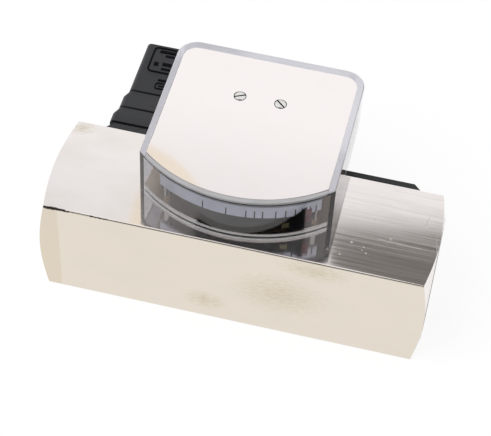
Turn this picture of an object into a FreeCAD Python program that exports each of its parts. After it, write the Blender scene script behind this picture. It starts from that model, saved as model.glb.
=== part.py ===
import FreeCAD, Part
import math
import os

# Variable area flow meter for a one inch pipe.
# A square metal body holds a spring-loaded float on a central rod. The float carries a ring magnet,
# and a magnet on the pointer arm above the body follows it, so nothing passes through the wall.
# The pointer swings behind a curved scale inside a clear hood, and a black housing along the back
# holds a reed switch with a square plug.
# Frame: millimetres, origin at the middle of the body's bottom face, +X along the pipe towards the
# inlet, +Y towards the back, +Z up. The pipe axis lies at half the body's width above the origin.

# Body
body_length = 130.0
body_width = 40.0
edge_radius = 0.8
end_cone_angle = 15.0

# Pipe ports and the bore between them. Each share is a radius over half the body's width: the port is
# a one inch pipe thread, 16.625 mm over 20 mm
port_share = 0.83125
port_depth = 20.0
port_chamfer = 1.2
seat_share = 0.75
seat_depth = 8.0
ring_groove_depth = 0.9
ring_groove_width = 1.3
sleeve_bore_share = 0.675
outlet_bore_share = 0.645

# Guides, rod and their fixings
guide_thickness = 3.2
guide_ring_wall = 2.6
guide_hub_radius = 4.5
guide_spoke_width = 2.0
guide_spoke_count = 3
guide_fit = 0.05
rod_radius = 2.0
rod_end_length = 1.0
rod_nut_across_flats = 7.0
rod_nut_height = 2.4
retaining_ring_thickness = 1.2
retaining_ring_width = 2.7
retaining_ring_gap_angle = 36.0
retaining_ring_fit = 0.1
ring_lug_radius = 1.7
ring_lug_hole_radius = 0.7

# Tapered metering sleeve
sleeve_length = 42.0
sleeve_throat_share = 0.52
sleeve_wide_share = 0.63
sleeve_fit = 0.02

# Float
float_rim_gap = 0.5
float_rim_width = 1.5
float_nose_length = 4.3
float_nose_radius = 3.6
float_back_length = 5.0
float_stem_radius = 5.0
float_spigot_radius = 3.6
float_running_clearance = 0.06
float_stop_gap = 0.2
float_magnet_length = 12.0
float_magnet_share = 0.425
float_nut_length = 2.5
float_nut_across_flats = 10.0

# Return spring
spring_mean_radius = 4.2
spring_wire_radius = 0.4
spring_wire_sides = 6
spring_turns = 8

# Dial: its pivot lies midway between the pillars. Angles are from the front (-Y), positive towards
# the inlet, and the two margins are what the pointer leaves of the scale at rest and at full flow
dial_x = -2.4
pillar_spacing = 13.74
pillar_y = 28.2
zero_margin_angle = 11.7
full_margin_angle = 7.8

# Clear hood
hood_width = 64.3
hood_back = 49.66
hood_height = 18.46
hood_wall = 2.4
hood_top_thickness = 1.8
hood_front_radius = 46.6
hood_front_centre_y = 29.8
hood_corner_radius = 7.0
hood_edge_bevel = 0.3

# Cover plate let into the top of the hood
cover_thickness = 1.0
cover_side_rim = 2.2
cover_back_rim = 3.05
cover_front_inset = 0.3
cover_corner_radius = 5.0
cover_fit = 0.05

# Cover screws
cover_screw_head_radius = 2.15
cover_screw_head_height = 1.5
cover_screw_proud = 0.15
cover_screw_radius = 1.25
cover_screw_reach = 6.0
cover_screw_slot_width = 0.6
cover_screw_slot_depth = 0.8
cover_screw_slot_angles = (26.0, -41.5)
cover_screw_hole_clearance = 0.2
cover_screw_head_clearance = 0.25

# Plate, gasket and pillars that carry the dial
gasket_thickness = 0.5
gasket_edge_inset = 0.8
base_plate_thickness = 2.0
base_plate_fit = 0.15
base_screw_radius = 1.5
base_screw_head_radius = 2.8
base_screw_depth = 4.0
base_screw_side_margin = 7.75
base_screw_front_margin = 15.8
base_screw_back_margin = 6.0
tapped_hole_extra = 0.6
pillar_radius = 2.75
pillar_spigot_radius = 1.6
bridge_thickness = 1.5
bridge_end_radius = 3.4

# Pointer movement
arbor_radius = 1.0
arbor_running_clearance = 0.04
bush_radius = 2.0
bush_collar = 0.7
bush_floor = 0.8
bush_end_gap = 0.1
hub_radius = 2.6
hub_height = 4.5
arm_thickness = 1.0
arm_height = 6.6
arm_hub_radius = 3.8
arm_hub_width = 5.0
arm_tip_width = 3.2
arm_slot_width = 1.6
arm_slot_start = 8.0
arm_slot_end = 21.0
tail_length = 12.0
counterweight_radius = 4.5
counterweight_height = 2.6
follower_magnet_length = 8.0
follower_magnet_width = 6.0
follower_magnet_height = 3.0
follower_magnet_gap = 3.4
flag_length = 4.8
flag_scale_gap = 1.0
flag_width = 5.0
flag_side_offset = 1.0
flag_bottom = 4.2
flag_top = 9.6
marker_width = 2.1
marker_bottom = 5.4
marker_top = 11.2
marker_depth = 1.2

# Scale
scale_thickness = 0.6
scale_hood_gap = 0.6
scale_inlet_gap = 2.31
scale_outlet_gap = 6.32
scale_bottom = 9.2
scale_top = 14.3
scale_post_radius = 1.2
scale_post_inset_angle = 1.9

# Switch housing along the back of the body
housing_outlet_margin = 10.0
housing_inlet_margin = 10.3
housing_depth = 7.3
housing_height = 28.0
housing_wall = 2.0
housing_corner_bevel = 2.2
housing_screw_seat_margin = 4.5
housing_screw_plug_margin = 20.9
housing_boss_radius = 4.2
housing_screw_radius = 1.5
housing_screw_head_radius = 2.75
housing_screw_head_height = 2.0
housing_screw_recess = 2.6
housing_screw_depth = 4.4
housing_screw_clearance = 0.15
board_end_margin = 5.0
board_thickness = 1.2
board_gap = 3.2
reed_length = 14.0
reed_radius = 1.3
reed_lead_radius = 0.3
reed_lead_length = 3.0

# Connector on the housing
connector_end_margin = 14.1
connector_window = 21.0
connector_flange = 1.2
connector_flange_thickness = 1.0
connector_fit = 0.1
connector_reach = 2.7
blade_width = 5.0
blade_thickness = 1.0
blade_offset = 7.6
blade_inner_end = 2.6
blade_length = 15.0

# Plug
plug_width = 28.0
plug_step = 0.95
plug_step_length = 3.5
plug_base_length = 4.1
plug_band_length = 6.0
plug_length = 42.9
plug_corner_radius = 1.8
plug_end_bevel = 1.0
plug_gasket_thickness = 1.2
plug_gasket_inset = 0.8
plug_wall = 1.7
insert_width = 22.4
insert_length = 13.5
insert_fit = 0.05
terminal_screw_radius = 1.8
terminal_screw_height = 1.0
plug_screw_radius = 1.5
plug_screw_head_radius = 2.75
plug_screw_head_height = 2.0
plug_screw_recess = 2.4
plug_screw_clearance = 0.15
plug_screw_bite = 3.0

# Cable gland on the plug
gland_distance = 27.5
gland_boss_radius = 9.6
gland_boss_length = 1.6
gland_neck_radius = 7.6
gland_neck_bore = 5.7
gland_neck_length = 6.0
gland_nut_across_flats = 18.0
gland_nut_length = 10.0
gland_nut_dome = 3.0
gland_cable_radius = 4.0
gland_grommet_length = 6.0
gland_grommet_wall = 1.9
gland_washer_thickness = 0.8
slot_share = 0.45

# Places worked out from the sizes above
half_length = body_length / 2
axis_z = body_width / 2
body_top = body_width
back_face = body_width / 2
end_face_radius = body_width / 2
port_radius = axis_z * port_share
seat_radius = axis_z * seat_share
sleeve_bore_radius = axis_z * sleeve_bore_share
outlet_bore_radius = axis_z * outlet_bore_share
sleeve_throat_radius = axis_z * sleeve_throat_share
sleeve_wide_radius = axis_z * sleeve_wide_share
float_rim_radius = sleeve_throat_radius - float_rim_gap
float_magnet_radius = axis_z * float_magnet_share
port_bottom = half_length - port_depth
seat_face = port_bottom - seat_depth
guide_outer_face = seat_face + guide_thickness
sleeve_end = seat_face - sleeve_length
pivot = (dial_x, pillar_y)
pillar_xs = (dial_x - pillar_spacing / 2, dial_x + pillar_spacing / 2)
hood_inner_half = hood_width / 2 - hood_wall
scale_radius = hood_front_radius - hood_wall - scale_hood_gap - scale_thickness
scale_outer_radius = scale_radius + scale_thickness
scale_angles = (
    -math.degrees(math.asin((hood_inner_half - scale_outlet_gap) / scale_outer_radius)),
    math.degrees(math.asin((hood_inner_half - scale_inlet_gap) / scale_outer_radius)))
flag_outer_radius = scale_radius - (hood_front_centre_y - pillar_y) - flag_scale_gap
flag_inner_radius = flag_outer_radius - flag_length
pointer_rest_angle = scale_angles[1] - zero_margin_angle
pointer_full_angle = scale_angles[0] + full_margin_angle
magnet_arm_radius = flag_inner_radius - follower_magnet_gap - follower_magnet_length / 2
magnet_rest_x = dial_x + magnet_arm_radius * math.sin(math.radians(pointer_rest_angle))
magnet_full_x = dial_x + magnet_arm_radius * math.sin(math.radians(pointer_full_angle))
float_travel = magnet_rest_x - magnet_full_x
base_plate_bottom = body_top + gasket_thickness
base_plate_top = base_plate_bottom + base_plate_thickness
hood_top = body_top + hood_height
hood_ceiling = hood_top - cover_thickness - hood_top_thickness
bridge_bottom = hood_ceiling - bridge_thickness
arm_bottom = body_top + arm_height
housing_back = back_face + housing_depth
housing_left = -half_length + housing_outlet_margin
housing_right = half_length - housing_inlet_margin
connector_x = housing_left + connector_end_margin
housing_screw_x = (connector_x + housing_screw_plug_margin, seat_face - housing_screw_seat_margin)
board_left = housing_screw_x[0] + board_end_margin
board_right = housing_screw_x[1] - board_end_margin
reed_x = (board_left + board_right) / 2
plug_start = housing_back + plug_gasket_thickness
plug_end = plug_start + plug_length
connector_face = housing_back + connector_reach
insert_start = connector_face
insert_end = insert_start + insert_length

margin = 1.0
X_AXIS = FreeCAD.Vector(1, 0, 0)
Y_AXIS = FreeCAD.Vector(0, 1, 0)
Z_AXIS = FreeCAD.Vector(0, 0, 1)


def point(x, y, z=0.0):
    return FreeCAD.Vector(x, y, z)


def box(x_range, y_range, z_range):
    # Block between three pairs of limits
    size = [high - low for low, high in (x_range, y_range, z_range)]
    return Part.makeBox(size[0], size[1], size[2], point(x_range[0], y_range[0], z_range[0]))


def rod_z(radius, bottom, top, x, y):
    return Part.makeCylinder(radius, top - bottom, point(x, y, bottom), Z_AXIS)


def rod_y(radius, front, back, x, z):
    return Part.makeCylinder(radius, back - front, point(x, front, z), Y_AXIS)


def rod_x(radius, start, end, y=0.0, z=axis_z):
    return Part.makeCylinder(radius, end - start, point(start, y, z), X_AXIS)


def turned(profile, y=0.0, z=axis_z):
    # Solid of revolution about a line along X, from (x, radius) corners that start and end on it
    corners = [point(x, 0, radius) for x, radius in profile]
    face = Part.Face(Part.makePolygon(corners + corners[:1]))
    solid = face.revolve(point(0, 0, 0), X_AXIS, 360)
    solid.translate(point(0, y, z))
    return solid


def bored(profile, bore_radius, y=0.0, z=axis_z):
    # Turned piece with a straight hole along its axis
    start = profile[0][0]
    end = profile[-1][0]
    return turned(profile, y, z).cut(rod_x(bore_radius, start - margin, end + margin, y, z))


def hexagon(across_flats):
    radius = across_flats / math.sqrt(3)
    corners = [
        point(radius * math.cos(math.radians(60 * i)), radius * math.sin(math.radians(60 * i)))
        for i in range(6)
    ]
    return Part.Face(Part.makePolygon(corners + corners[:1]))


def hex_nut_x(across_flats, start, end, bore_radius, y=0.0, z=axis_z):
    # Hexagon nut along X with bevelled corners
    length = end - start
    nut = hexagon(across_flats).extrude(point(0, 0, length))
    nut.rotate(point(0, 0, 0), Y_AXIS, 90)
    nut.translate(point(start, y, z))
    corner = across_flats / math.sqrt(3)
    flat = across_flats / 2
    bevel = (corner - flat) / 2
    rounded = turned(
        [(start, 0), (start, flat), (start + bevel, corner), (end - bevel, corner), (end, flat), (end, 0)],
        y, z)
    return nut.common(rounded).cut(rod_x(bore_radius, start - margin, end + margin, y, z))


def slotted_screw(head_radius, head_height, shank_radius, reach, slot_width, slot_depth, slot_angle=0.0):
    # Cheese head screw pointing down: the head's underside lies in the plane z = 0
    head = rod_z(head_radius, 0, head_height, 0, 0)
    head = head.makeChamfer(head_height * 0.12, [edge_at_height(head, head_height)])
    slot = box(
        (-head_radius - margin, head_radius + margin),
        (-slot_width / 2, slot_width / 2),
        (head_height - slot_depth, head_height + margin))
    slot.rotate(point(0, 0, 0), Z_AXIS, slot_angle)
    shank = rod_z(shank_radius, -reach, 0, 0, 0)
    return head.cut(slot).fuse(shank)


def edge_at_height(solid, height):
    # The circular edge that lies wholly at one height
    for edge in solid.Edges:
        bounds = edge.BoundBox
        if abs(bounds.ZMin - height) < 1e-6 and abs(bounds.ZMax - height) < 1e-6:
            return edge
    raise ValueError("no edge at height %s" % height)


def rounded_square_y(half_width, y, corner_radius):
    # Closed wire of a square with rounded corners, in a plane across Y, centred on the plug's axis
    reach = half_width - corner_radius
    diagonal = corner_radius * math.sqrt(0.5)
    edges = []
    for turn in range(4):
        angle = math.radians(90 * turn)
        cos, sin = math.cos(angle), math.sin(angle)

        def place(u, v):
            return point(connector_x + u * cos - v * sin, y, axis_z + u * sin + v * cos)

        edges.append(Part.LineSegment(place(half_width, -reach), place(half_width, reach)).toShape())
        edges.append(Part.Arc(
            place(half_width, reach),
            place(reach + diagonal, reach + diagonal),
            place(reach, half_width)).toShape())
    return Part.Wire(edges)


def dial_outline(left, right, back, front_radius, corner_radius, z):
    # The dial's outline: straight sides and back, rounded back corners and one arc across the front
    def front_y(x):
        return hood_front_centre_y - math.sqrt(front_radius ** 2 - (x - dial_x) ** 2)

    shift = corner_radius * (1 - math.sqrt(0.5))
    left_front = point(left, front_y(left), z)
    right_front = point(right, front_y(right), z)
    front = point(dial_x, hood_front_centre_y - front_radius, z)
    right_back = point(right, back - corner_radius, z)
    back_right = point(right - corner_radius, back, z)
    back_left = point(left + corner_radius, back, z)
    left_back = point(left, back - corner_radius, z)
    edges = [
        Part.Arc(left_front, front, right_front).toShape(),
        Part.LineSegment(right_front, right_back).toShape(),
        Part.Arc(right_back, point(right - shift, back - shift, z), back_right).toShape(),
        Part.LineSegment(back_right, back_left).toShape(),
        Part.Arc(back_left, point(left + shift, back - shift, z), left_back).toShape(),
        Part.LineSegment(left_back, left_front).toShape(),
    ]
    return Part.Face(Part.Wire(edges))


def hood_shape(inset, bottom, top):
    # Solid with the hood's outline drawn in by one distance all round
    outline = dial_outline(
        dial_x - hood_width / 2 + inset,
        dial_x + hood_width / 2 - inset,
        hood_back - inset,
        hood_front_radius - inset,
        hood_corner_radius - inset,
        bottom)
    return outline.extrude(point(0, 0, top - bottom))


def cover_shape(growth, front_growth, bottom, top):
    # Solid with the cover plate's outline, grown a little for the recess that takes it
    outline = dial_outline(
        dial_x - hood_width / 2 + cover_side_rim - growth,
        dial_x + hood_width / 2 - cover_side_rim + growth,
        hood_back - cover_back_rim + growth,
        hood_front_radius - cover_front_inset + front_growth,
        cover_corner_radius + growth,
        bottom)
    return outline.extrude(point(0, 0, top - bottom))


def turned_about_pivot(shape, angle):
    # Pieces of the pointer are drawn pointing to the front and turned to their rest angle
    shape.rotate(point(pivot[0], pivot[1], 0), Z_AXIS, angle)
    return shape


def write(name, *solids):
    shape = solids[0] if len(solids) == 1 else Part.makeCompound(list(solids))
    shape.exportStep("parts/" + name + ".step")


# Body and what is inside its bore

def bore_profile():
    # The whole bore from end to end: ports, guide seats with their ring grooves, and the sleeve bore
    mouth = port_radius + port_chamfer + margin
    groove_radius = seat_radius + ring_groove_depth
    groove_end = guide_outer_face + ring_groove_width
    half = [
        (half_length + margin, 0),
        (half_length + margin, mouth),
        (half_length - port_chamfer, port_radius),
        (port_bottom, port_radius),
        (port_bottom, seat_radius),
        (groove_end, seat_radius),
        (groove_end, groove_radius),
        (guide_outer_face, groove_radius),
        (guide_outer_face, seat_radius),
        (seat_face, seat_radius),
    ]
    outlet_side = [(-x, radius) for x, radius in half]
    middle = [
        (-seat_face, outlet_bore_radius),
        (sleeve_end, outlet_bore_radius),
        (sleeve_end, sleeve_bore_radius),
        (seat_face, sleeve_bore_radius),
    ]
    return outlet_side + middle + half[::-1]


def base_screw_places():
    offset = hood_inner_half - base_screw_side_margin
    rows = (hood_front_centre_y - hood_front_radius + base_screw_front_margin,
            back_face - base_screw_back_margin)
    return [(dial_x + side * offset, y) for side in (-1, 1) for y in rows]


def make_body():
    half = body_width / 2
    block = box((-half_length, half_length), (-half, half), (0, body_width))
    long_edges = [edge for edge in block.Edges if edge.BoundBox.XLength > body_length - margin]
    block = block.makeFillet(edge_radius, long_edges)
    corner = half * math.sqrt(2)
    setback = (corner - end_face_radius) * math.tan(math.radians(end_cone_angle))
    ends = turned([
        (-half_length, 0), (-half_length, end_face_radius), (-half_length + setback, corner),
        (half_length - setback, corner), (half_length, end_face_radius), (half_length, 0)])
    block = block.common(ends).cut(turned(bore_profile()))
    for x, y in base_screw_places():
        depth = base_screw_depth + tapped_hole_extra
        block = block.cut(rod_z(base_screw_radius, body_top - depth, body_top + margin, x, y))
    for x in housing_screw_x:
        depth = housing_screw_depth + tapped_hole_extra
        block = block.cut(rod_y(housing_screw_radius, back_face - depth, back_face + margin, x, axis_z))
    return block


def make_guide(start, end):
    # Ring that fits its seat, a hub for the rod and the spokes between them
    outer = seat_radius - guide_fit
    inner = outer - guide_ring_wall
    guide = rod_x(outer, start, end).cut(rod_x(inner, start - margin, end + margin))
    guide = guide.fuse(rod_x(guide_hub_radius, start, end))
    for i in range(guide_spoke_count):
        spoke = box(
            (start, end),
            (-guide_spoke_width / 2, guide_spoke_width / 2),
            (axis_z + guide_hub_radius / 2, axis_z + inner + guide_ring_wall / 2))
        spoke.rotate(point(0, 0, axis_z), X_AXIS, 360 * i / guide_spoke_count)
        guide = guide.fuse(spoke)
    return guide.cut(rod_x(rod_radius, start - margin, end + margin)).removeSplitter()


def make_retaining_ring(start, end):
    # Open ring with two eyes for the pliers, its gap at the bottom
    outer = seat_radius + ring_groove_depth - retaining_ring_fit
    inner = outer - retaining_ring_width
    half_gap = retaining_ring_gap_angle / 2
    ring = rod_x(outer, start, end).cut(rod_x(inner, start - margin, end + margin))
    reach = outer + margin
    side = reach * math.tan(math.radians(half_gap))
    wedge = Part.Face(Part.makePolygon([
        point(start - margin, 0, axis_z),
        point(start - margin, side, axis_z - reach),
        point(start - margin, -side, axis_z - reach),
        point(start - margin, 0, axis_z)]))
    ring = ring.cut(wedge.extrude(point(end - start + 2 * margin, 0, 0)))
    lug_distance = outer - ring_lug_radius
    angle = math.radians(half_gap) + ring_lug_radius / lug_distance
    for sign in (-1, 1):
        y = sign * lug_distance * math.sin(angle)
        z = axis_z - lug_distance * math.cos(angle)
        ring = ring.fuse(rod_x(ring_lug_radius, start, end, y, z))
        ring = ring.cut(rod_x(ring_lug_hole_radius, start - margin, end + margin, y, z))
    return ring.removeSplitter()


def make_sleeve():
    outer = sleeve_bore_radius - sleeve_fit
    return turned([
        (sleeve_end, sleeve_wide_radius), (sleeve_end, outer),
        (seat_face, outer), (seat_face, sleeve_throat_radius)])


def make_float_body():
    # Nose cone, sharp rim, back cone, stem and the spigot that takes the magnet and its nut
    nose = seat_face - float_stop_gap
    rim_front = nose - float_nose_length
    rim_back = rim_front - float_rim_width
    back_end = rim_back - float_back_length
    magnet_front = magnet_rest_x + float_magnet_length / 2
    spigot_end = magnet_rest_x - float_magnet_length / 2 - float_nut_length
    profile = [
        (spigot_end, 0), (spigot_end, float_spigot_radius), (magnet_front, float_spigot_radius),
        (magnet_front, float_stem_radius), (back_end, float_stem_radius), (rim_back, float_rim_radius),
        (rim_front, float_rim_radius), (nose, float_nose_radius), (nose, 0)]
    return bored(profile, rod_radius + float_running_clearance)


def make_spring():
    # Helix round the rod between the outlet guide and the float's nut, its wire drawn with six sides
    start = -seat_face
    end = magnet_rest_x - float_magnet_length / 2 - float_nut_length
    height = end - start - 2 * spring_wire_radius
    helix = Part.makeHelix(height / spring_turns, height, spring_mean_radius)
    corners = []
    for i in range(spring_wire_sides):
        angle = 2 * math.pi * i / spring_wire_sides
        corners.append(point(
            spring_mean_radius + spring_wire_radius * math.cos(angle), 0,
            spring_wire_radius * math.sin(angle)))
    section = Part.makePolygon(corners + corners[:1])
    spring = Part.Wire(helix.Edges).makePipeShell([section], True, True)
    spring.rotate(point(0, 0, 0), Y_AXIS, 90)
    spring.translate(point(start + spring_wire_radius, 0, axis_z))
    return spring


def build_float_group():
    inlet_guide = make_guide(seat_face, guide_outer_face)
    outlet_guide = make_guide(-guide_outer_face, -seat_face)
    write("inlet_guide", inlet_guide)
    write("outlet_guide", outlet_guide)
    rod_end = guide_outer_face + rod_nut_height + rod_end_length
    write("guide_rod", rod_x(rod_radius, -rod_end, rod_end))
    nut_end = guide_outer_face + rod_nut_height
    write(
        "rod_nuts",
        hex_nut_x(rod_nut_across_flats, guide_outer_face, nut_end, rod_radius),
        hex_nut_x(rod_nut_across_flats, -nut_end, -guide_outer_face, rod_radius))
    ring_end = guide_outer_face + retaining_ring_thickness
    write(
        "retaining_rings",
        make_retaining_ring(guide_outer_face, ring_end),
        make_retaining_ring(-ring_end, -guide_outer_face))
    write("metering_sleeve", make_sleeve())
    write("float_body", make_float_body())
    magnet_back = magnet_rest_x - float_magnet_length / 2
    magnet = rod_x(float_magnet_radius, magnet_back, magnet_back + float_magnet_length)
    write("float_magnet", magnet.cut(rod_x(float_spigot_radius, magnet_back - margin,
                                           magnet_back + float_magnet_length + margin)))
    write("float_nut", hex_nut_x(
        float_nut_across_flats, magnet_back - float_nut_length, magnet_back, float_spigot_radius))
    write("return_spring", make_spring())


# Dial

def build_dial_base():
    inset = hood_wall + base_plate_fit
    gasket = hood_shape(inset + gasket_edge_inset, body_top, base_plate_bottom)
    gasket = gasket.common(box(
        (-half_length, half_length),
        (-back_face + edge_radius, back_face - edge_radius),
        (body_top, base_plate_bottom)))
    plate = hood_shape(inset, base_plate_bottom, base_plate_top)
    screws = []
    for x, y in base_screw_places():
        drop = base_screw_head_radius - base_screw_radius
        head = Part.makeCone(
            base_screw_radius, base_screw_head_radius, drop, point(x, y, base_plate_top - drop), Z_AXIS)
        shank = rod_z(base_screw_radius, body_top - base_screw_depth, base_plate_top - drop, x, y)
        screw = head.fuse(shank)
        plate = plate.cut(screw)
        gasket = gasket.cut(screw)
        slot = box(
            (x - base_screw_head_radius, x + base_screw_head_radius),
            (y - cover_screw_slot_width / 2, y + cover_screw_slot_width / 2),
            (base_plate_top - drop * slot_share, base_plate_top + margin))
        screws.append(screw.cut(slot))
    pillars = []
    for x in pillar_xs:
        pillar = rod_z(pillar_radius, base_plate_top, bridge_bottom, x, pillar_y)
        spigot = rod_z(pillar_spigot_radius, base_plate_bottom, base_plate_top, x, pillar_y)
        plate = plate.cut(spigot)
        depth = cover_screw_reach + tapped_hole_extra
        tapped = rod_z(cover_screw_radius, bridge_bottom - depth, bridge_bottom + margin, x, pillar_y)
        pillars.append(pillar.fuse(spigot).cut(tapped))
    lower_bush, upper_bush = make_bushes()
    seat = rod_z(bush_radius, base_plate_bottom - margin, base_plate_top + margin, *pivot)
    write("base_gasket", gasket)
    write("base_plate", plate.cut(seat))
    write("base_plate_screws", *screws)
    write("pillars", *pillars)
    write("pivot_bushes", lower_bush, upper_bush)
    write("bearing_bridge", make_bridge())


def make_bushes():
    # A blind foot bush in the base plate and an open bush in the bridge
    bore = arbor_radius + arbor_running_clearance
    lower_top = base_plate_top + bush_collar
    lower = rod_z(bush_radius, base_plate_bottom, lower_top, *pivot)
    lower = lower.cut(rod_z(bore, base_plate_bottom + bush_floor, lower_top + margin, *pivot))
    upper_bottom = bridge_bottom - bush_collar
    upper = rod_z(bush_radius, upper_bottom, hood_ceiling, *pivot)
    upper = upper.cut(rod_z(bore, upper_bottom - margin, hood_ceiling + margin, *pivot))
    return lower, upper


def make_bridge():
    bar = box(pillar_xs, (pillar_y - bridge_end_radius, pillar_y + bridge_end_radius),
              (bridge_bottom, hood_ceiling))
    for x in pillar_xs:
        bar = bar.fuse(rod_z(bridge_end_radius, bridge_bottom, hood_ceiling, x, pillar_y))
    hole = cover_screw_radius + cover_screw_hole_clearance
    for x in pillar_xs:
        bar = bar.cut(rod_z(hole, bridge_bottom - margin, hood_ceiling + margin, x, pillar_y))
    bar = bar.cut(rod_z(bush_radius, bridge_bottom - margin, hood_ceiling + margin, *pivot))
    return bar.removeSplitter()


def make_arm():
    # Tapered strip from the counterweight's pad past the hub to the tip, with a long slot
    x, y = pivot
    tip = y - flag_outer_radius + marker_depth
    tail = y + tail_length
    half_hub = arm_hub_width / 2
    half_tip = arm_tip_width / 2
    strip = Part.Face(Part.makePolygon([
        point(x - half_hub, tail, arm_bottom), point(x - half_hub, y, arm_bottom),
        point(x - half_tip, tip, arm_bottom), point(x + half_tip, tip, arm_bottom),
        point(x + half_hub, y, arm_bottom), point(x + half_hub, tail, arm_bottom),
        point(x - half_hub, tail, arm_bottom)])).extrude(point(0, 0, arm_thickness))
    top = arm_bottom + arm_thickness
    arm = strip.fuse(rod_z(arm_hub_radius, arm_bottom, top, x, y))
    arm = arm.fuse(rod_z(counterweight_radius, arm_bottom, top, x, tail))
    slot = box(
        (x - arm_slot_width / 2, x + arm_slot_width / 2),
        (y - arm_slot_end, y - arm_slot_start),
        (arm_bottom - margin, top + margin))
    for end in (arm_slot_start, arm_slot_end):
        slot = slot.fuse(rod_z(arm_slot_width / 2, arm_bottom - margin, top + margin, x, y - end))
    arm = arm.cut(slot).cut(rod_z(hub_radius, arm_bottom - margin, top + margin, x, y))
    return arm.removeSplitter()


def build_pointer():
    x, y = pivot
    arm = make_arm()
    arbor_bottom = base_plate_bottom + bush_floor + bush_end_gap
    arbor = rod_z(arbor_radius, arbor_bottom, hood_ceiling - bush_end_gap, x, y)
    hub_bottom = arm_bottom - (hub_height - arm_thickness) / 2
    hub = rod_z(hub_radius, hub_bottom, hub_bottom + hub_height, x, y)
    hub = hub.cut(rod_z(arbor_radius, hub_bottom - margin, hub_bottom + hub_height + margin, x, y))
    half = follower_magnet_width / 2
    magnet_y = y - magnet_arm_radius
    magnet = box(
        (x - half, x + half),
        (magnet_y - follower_magnet_length / 2, magnet_y + follower_magnet_length / 2),
        (arm_bottom - follower_magnet_height, arm_bottom))
    weight = rod_z(
        counterweight_radius, arm_bottom + arm_thickness,
        arm_bottom + arm_thickness + counterweight_height, x, y + tail_length)
    flag_left = x + flag_side_offset - flag_width / 2
    flag_right = flag_left + flag_width
    flag = box(
        (flag_left, flag_right),
        (y - flag_outer_radius, y - flag_inner_radius),
        (body_top + flag_bottom, body_top + flag_top)).cut(arm)
    marker = box(
        (flag_right, flag_right + marker_width),
        (y - flag_outer_radius, y - flag_outer_radius + marker_depth),
        (body_top + marker_bottom, body_top + marker_top))
    pieces = {
        "pointer_arbor": arbor, "pointer_hub": hub, "pointer_arm": arm, "follower_magnet": magnet,
        "counterweight": weight, "pointer_flag": flag, "pointer_marker": marker}
    for name, shape in pieces.items():
        write(name, turned_about_pivot(shape, pointer_rest_angle))


def build_scale():
    # Curved strip just inside the hood's front wall, on a post at each end
    start, end = scale_angles
    bottom = body_top + scale_bottom
    height = scale_top - scale_bottom

    def sector(radius):
        disc = Part.makeCylinder(
            radius, height, point(dial_x, hood_front_centre_y, bottom), Z_AXIS, end - start)
        disc.rotate(point(dial_x, hood_front_centre_y, 0), Z_AXIS, start - 90)
        return disc

    write("scale_strip", sector(scale_radius + scale_thickness).cut(sector(scale_radius)))
    posts = []
    for angle in (start + scale_post_inset_angle, end - scale_post_inset_angle):
        distance = scale_radius - scale_post_radius
        x = dial_x + distance * math.sin(math.radians(angle))
        y = hood_front_centre_y - distance * math.cos(math.radians(angle))
        posts.append(rod_z(scale_post_radius, base_plate_top, body_top + scale_top, x, y))
    write("scale_posts", *posts)


def build_hood_and_cover():
    hood = hood_shape(0, body_top, hood_top)
    top_edges = [
        edge for edge in hood.Edges
        if edge.BoundBox.ZMin > hood_top - margin / 2]
    hood = hood.makeChamfer(hood_edge_bevel, top_edges)
    hood = hood.cut(hood_shape(hood_wall, body_top - margin, hood_ceiling))
    hood = hood.cut(cover_shape(cover_fit, margin, hood_top - cover_thickness, hood_top + margin))
    plate = cover_shape(0, 0, hood_top - cover_thickness, hood_top)
    head_bottom = hood_top + cover_screw_proud - cover_screw_head_height
    hole = cover_screw_radius + cover_screw_hole_clearance
    head_hole = cover_screw_head_radius + cover_screw_head_clearance
    reach = head_bottom - bridge_bottom + cover_screw_reach
    screws = []
    for x, slot_angle in zip(pillar_xs, cover_screw_slot_angles):
        hood = hood.cut(rod_z(hole, hood_ceiling - margin, hood_top, x, pillar_y))
        counterbore = rod_z(head_hole, head_bottom, hood_top + margin, x, pillar_y)
        hood = hood.cut(counterbore)
        plate = plate.cut(counterbore)
        screw = slotted_screw(
            cover_screw_head_radius, cover_screw_head_height, cover_screw_radius, reach,
            cover_screw_slot_width, cover_screw_slot_depth, slot_angle)
        screw.translate(point(x, pillar_y, head_bottom))
        screws.append(screw)
    write("clear_hood", hood)
    write("cover_plate", plate)
    write("cover_screws", *screws)


# Switch housing, connector and plug

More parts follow.
